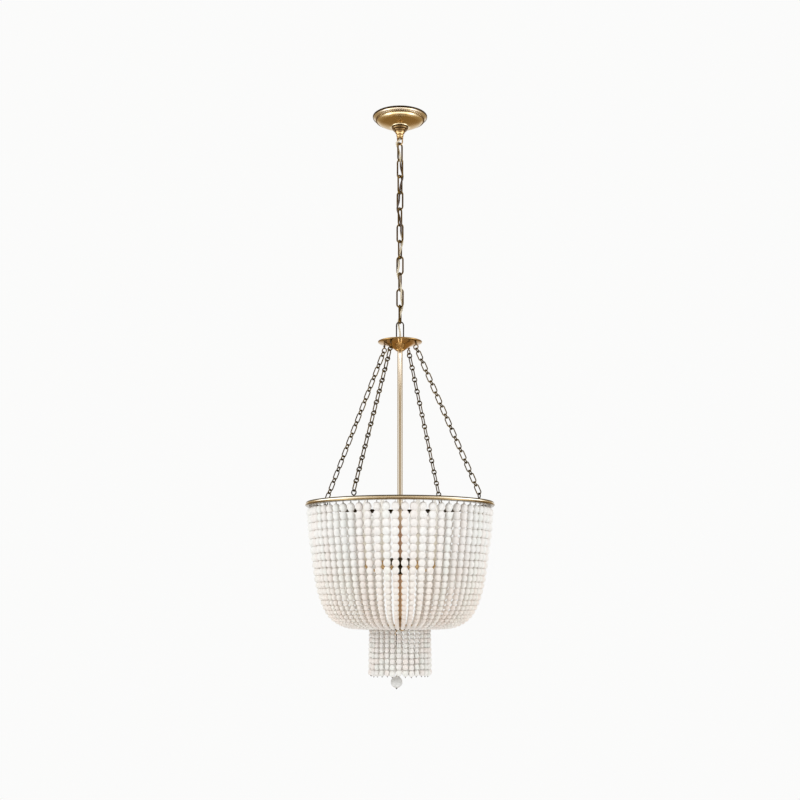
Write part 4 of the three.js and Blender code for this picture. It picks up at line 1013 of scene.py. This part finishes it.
# Brightness first. Then where each bright area rises from 0 to 1 and falls again: across, in radians from the
# viewer, up, from -1 under the light to 1 over it, or back, from -1 at the viewer to 1 behind the light.
studio = {"light": 0.55, "room": 0.38, "roomColor": (1, 0.72, 0.38), "seen": 0.965,
          "seenColor": (1, 1, 0.995), "aheadWhite": 0.3,
          "areas": {"panel": 0.6, "panelMiddle": 2.6, "wall": 0.6, "overhead": 1.3, "nearFloor": 1.5,
                    "ahead": 0.08},
          "lowUp": ((-0.97, -0.85), (-0.35, 0.0)), "panelAcross": ((0.25, 0.7), (1.75, 2.2)),
          "middleAcross": ((1.05, 1.3), (1.55, 1.8)), "wallAcross": ((0.6, 1.2), (1.4, 1.8)),
          "wallUp": ((-0.35, 0.0), (0.3, 0.5)), "overheadUp": ((0.38, 0.48), (0.7, 0.85)),
          "floorUp": (-0.92, -0.8), "floorBack": (-0.25, -0.05), "aheadAcross": (0.4, 0.9),
          "aheadUp": ((-0.25, -0.1), (0.25, 0.4)), "backdropBack": (0.85, 0.97)}


def plainFloor(values):
    # A pale disc, (r cos a, r sin a, height), that ends before the photograph's view begins.
    angle = np.arange(values["sides"]) * 2 * np.pi / values["sides"]
    rim = polar(values["radius"], angle, 0)
    mesh = bpy.data.meshes.new("floor")
    mesh.from_pydata(rim.tolist(), [], [list(range(len(rim)))])
    floor = bpy.data.objects.new("floor", mesh)
    floor.location = (0, 0, values["height"])
    bpy.context.scene.collection.objects.link(floor)
    floor.visible_glossy = False
    mesh.materials.append(newMaterial("paleFloor", values["fixed"])[0])


def lightPanel(name, place, target, size, power):
    # A rectangular lamp that faces its target, and isn't itself seen in the metal.
    data = bpy.data.lights.new(name, "AREA")
    data.shape = "RECTANGLE"
    data.size, data.size_y = size
    data.energy = power
    lamp = bpy.data.objects.new(name, data)
    lamp.location = place
    x, y, z = np.array(target, float) - np.array(place, float)
    lamp.rotation_euler = (math.atan2(math.hypot(x, y), -z), 0, math.atan2(y, x) - math.pi / 2)
    lamp.visible_glossy = False
    bpy.context.scene.collection.objects.link(lamp)


def studioWorld(values):
    # Camera rays see plain white. Metal and glass see that white behind them, a dim room round them, a soft
    # panel on each side that is brighter in its middle, and a pale floor near the viewer. What is left lights
    # the beads evenly.
    world = bpy.data.worlds.new("studio")
    bpy.context.scene.world = world
    world.use_nodes = True
    tree = world.node_tree
    background = tree.nodes["Background"]
    rays = tree.nodes.new("ShaderNodeLightPath").outputs
    direction = newNode(tree, "TexCoord", {}, "Generated")
    across, back, up = [newNode(tree, "SeparateXYZ", {"Vector": direction}, axis) for axis in "XYZ"]

    def combine(kind, *terms):  # a sum, a product and the like of numbers and nodes' outputs
        return newNode(tree, "Math", dict(enumerate(terms)), "Value", operation=kind)

    def between(value, reach):
        # 1 inside a range, with a soft edge on both sides.
        rises, falls = values[reach]
        return combine("MULTIPLY", span(tree, value, 0, 1, *rises), span(tree, value, 1, 0, *falls))

    sideways = combine("ARCTAN2", combine("ABSOLUTE", across), combine("MULTIPLY", back, -1.0))
    low = between(up, "lowUp")
    masks = {"panel": combine("MULTIPLY", between(sideways, "panelAcross"), low),
             "panelMiddle": combine("MULTIPLY", between(sideways, "middleAcross"), low),
             "wall": combine("MULTIPLY", between(sideways, "wallAcross"), between(up, "wallUp")),
             "overhead": between(up, "overheadUp"),
             "nearFloor": combine("MULTIPLY", span(tree, up, 1, 0, *values["floorUp"]),
                                  span(tree, back, 1, 0, *values["floorBack"])),
             "ahead": combine("MULTIPLY", span(tree, sideways, 1, 0, *values["aheadAcross"]),
                              between(up, "aheadUp"))}
    backdrop = span(tree, back, 0, 1, *values["backdropBack"])
    room = combine("ADD", values["room"], combine("MULTIPLY", backdrop, values["seen"] - values["room"]))
    for name, brightness in values["areas"].items():
        room = combine("ADD", room, combine("MULTIPLY", masks[name], brightness))
    shiny = combine("MAXIMUM", rays["Is Glossy Ray"], rays["Is Transmission Ray"])
    seen = rays["Is Camera Ray"]
    dull = combine("SUBTRACT", combine("SUBTRACT", 1.0, shiny), seen)
    strength = combine("ADD", combine("MULTIPLY", shiny, room), combine("MULTIPLY", dull, values["light"]))
    strength = combine("ADD", strength, combine("MULTIPLY", seen, values["seen"]))
    feed(tree, background.inputs["Strength"], strength)
    lightest = backdrop
    for mask in (masks["panel"], masks["wall"], masks["overhead"], masks["nearFloor"],
                 combine("MULTIPLY", masks["ahead"], values["aheadWhite"])):
        lightest = combine("MAXIMUM", lightest, mask)
    warm = combine("MULTIPLY", shiny, combine("SUBTRACT", 1.0, lightest))
    feed(tree, background.inputs["Color"], blendColor(tree, warm, values["seenColor"], values["roomColor"]))


plainFloor(floorLook)
studioWorld(studio)
for name, panel in panels.items():
    lightPanel(name, *panel)

bpy.context.scene.view_settings.view_transform = "Standard"
print("scene finished")
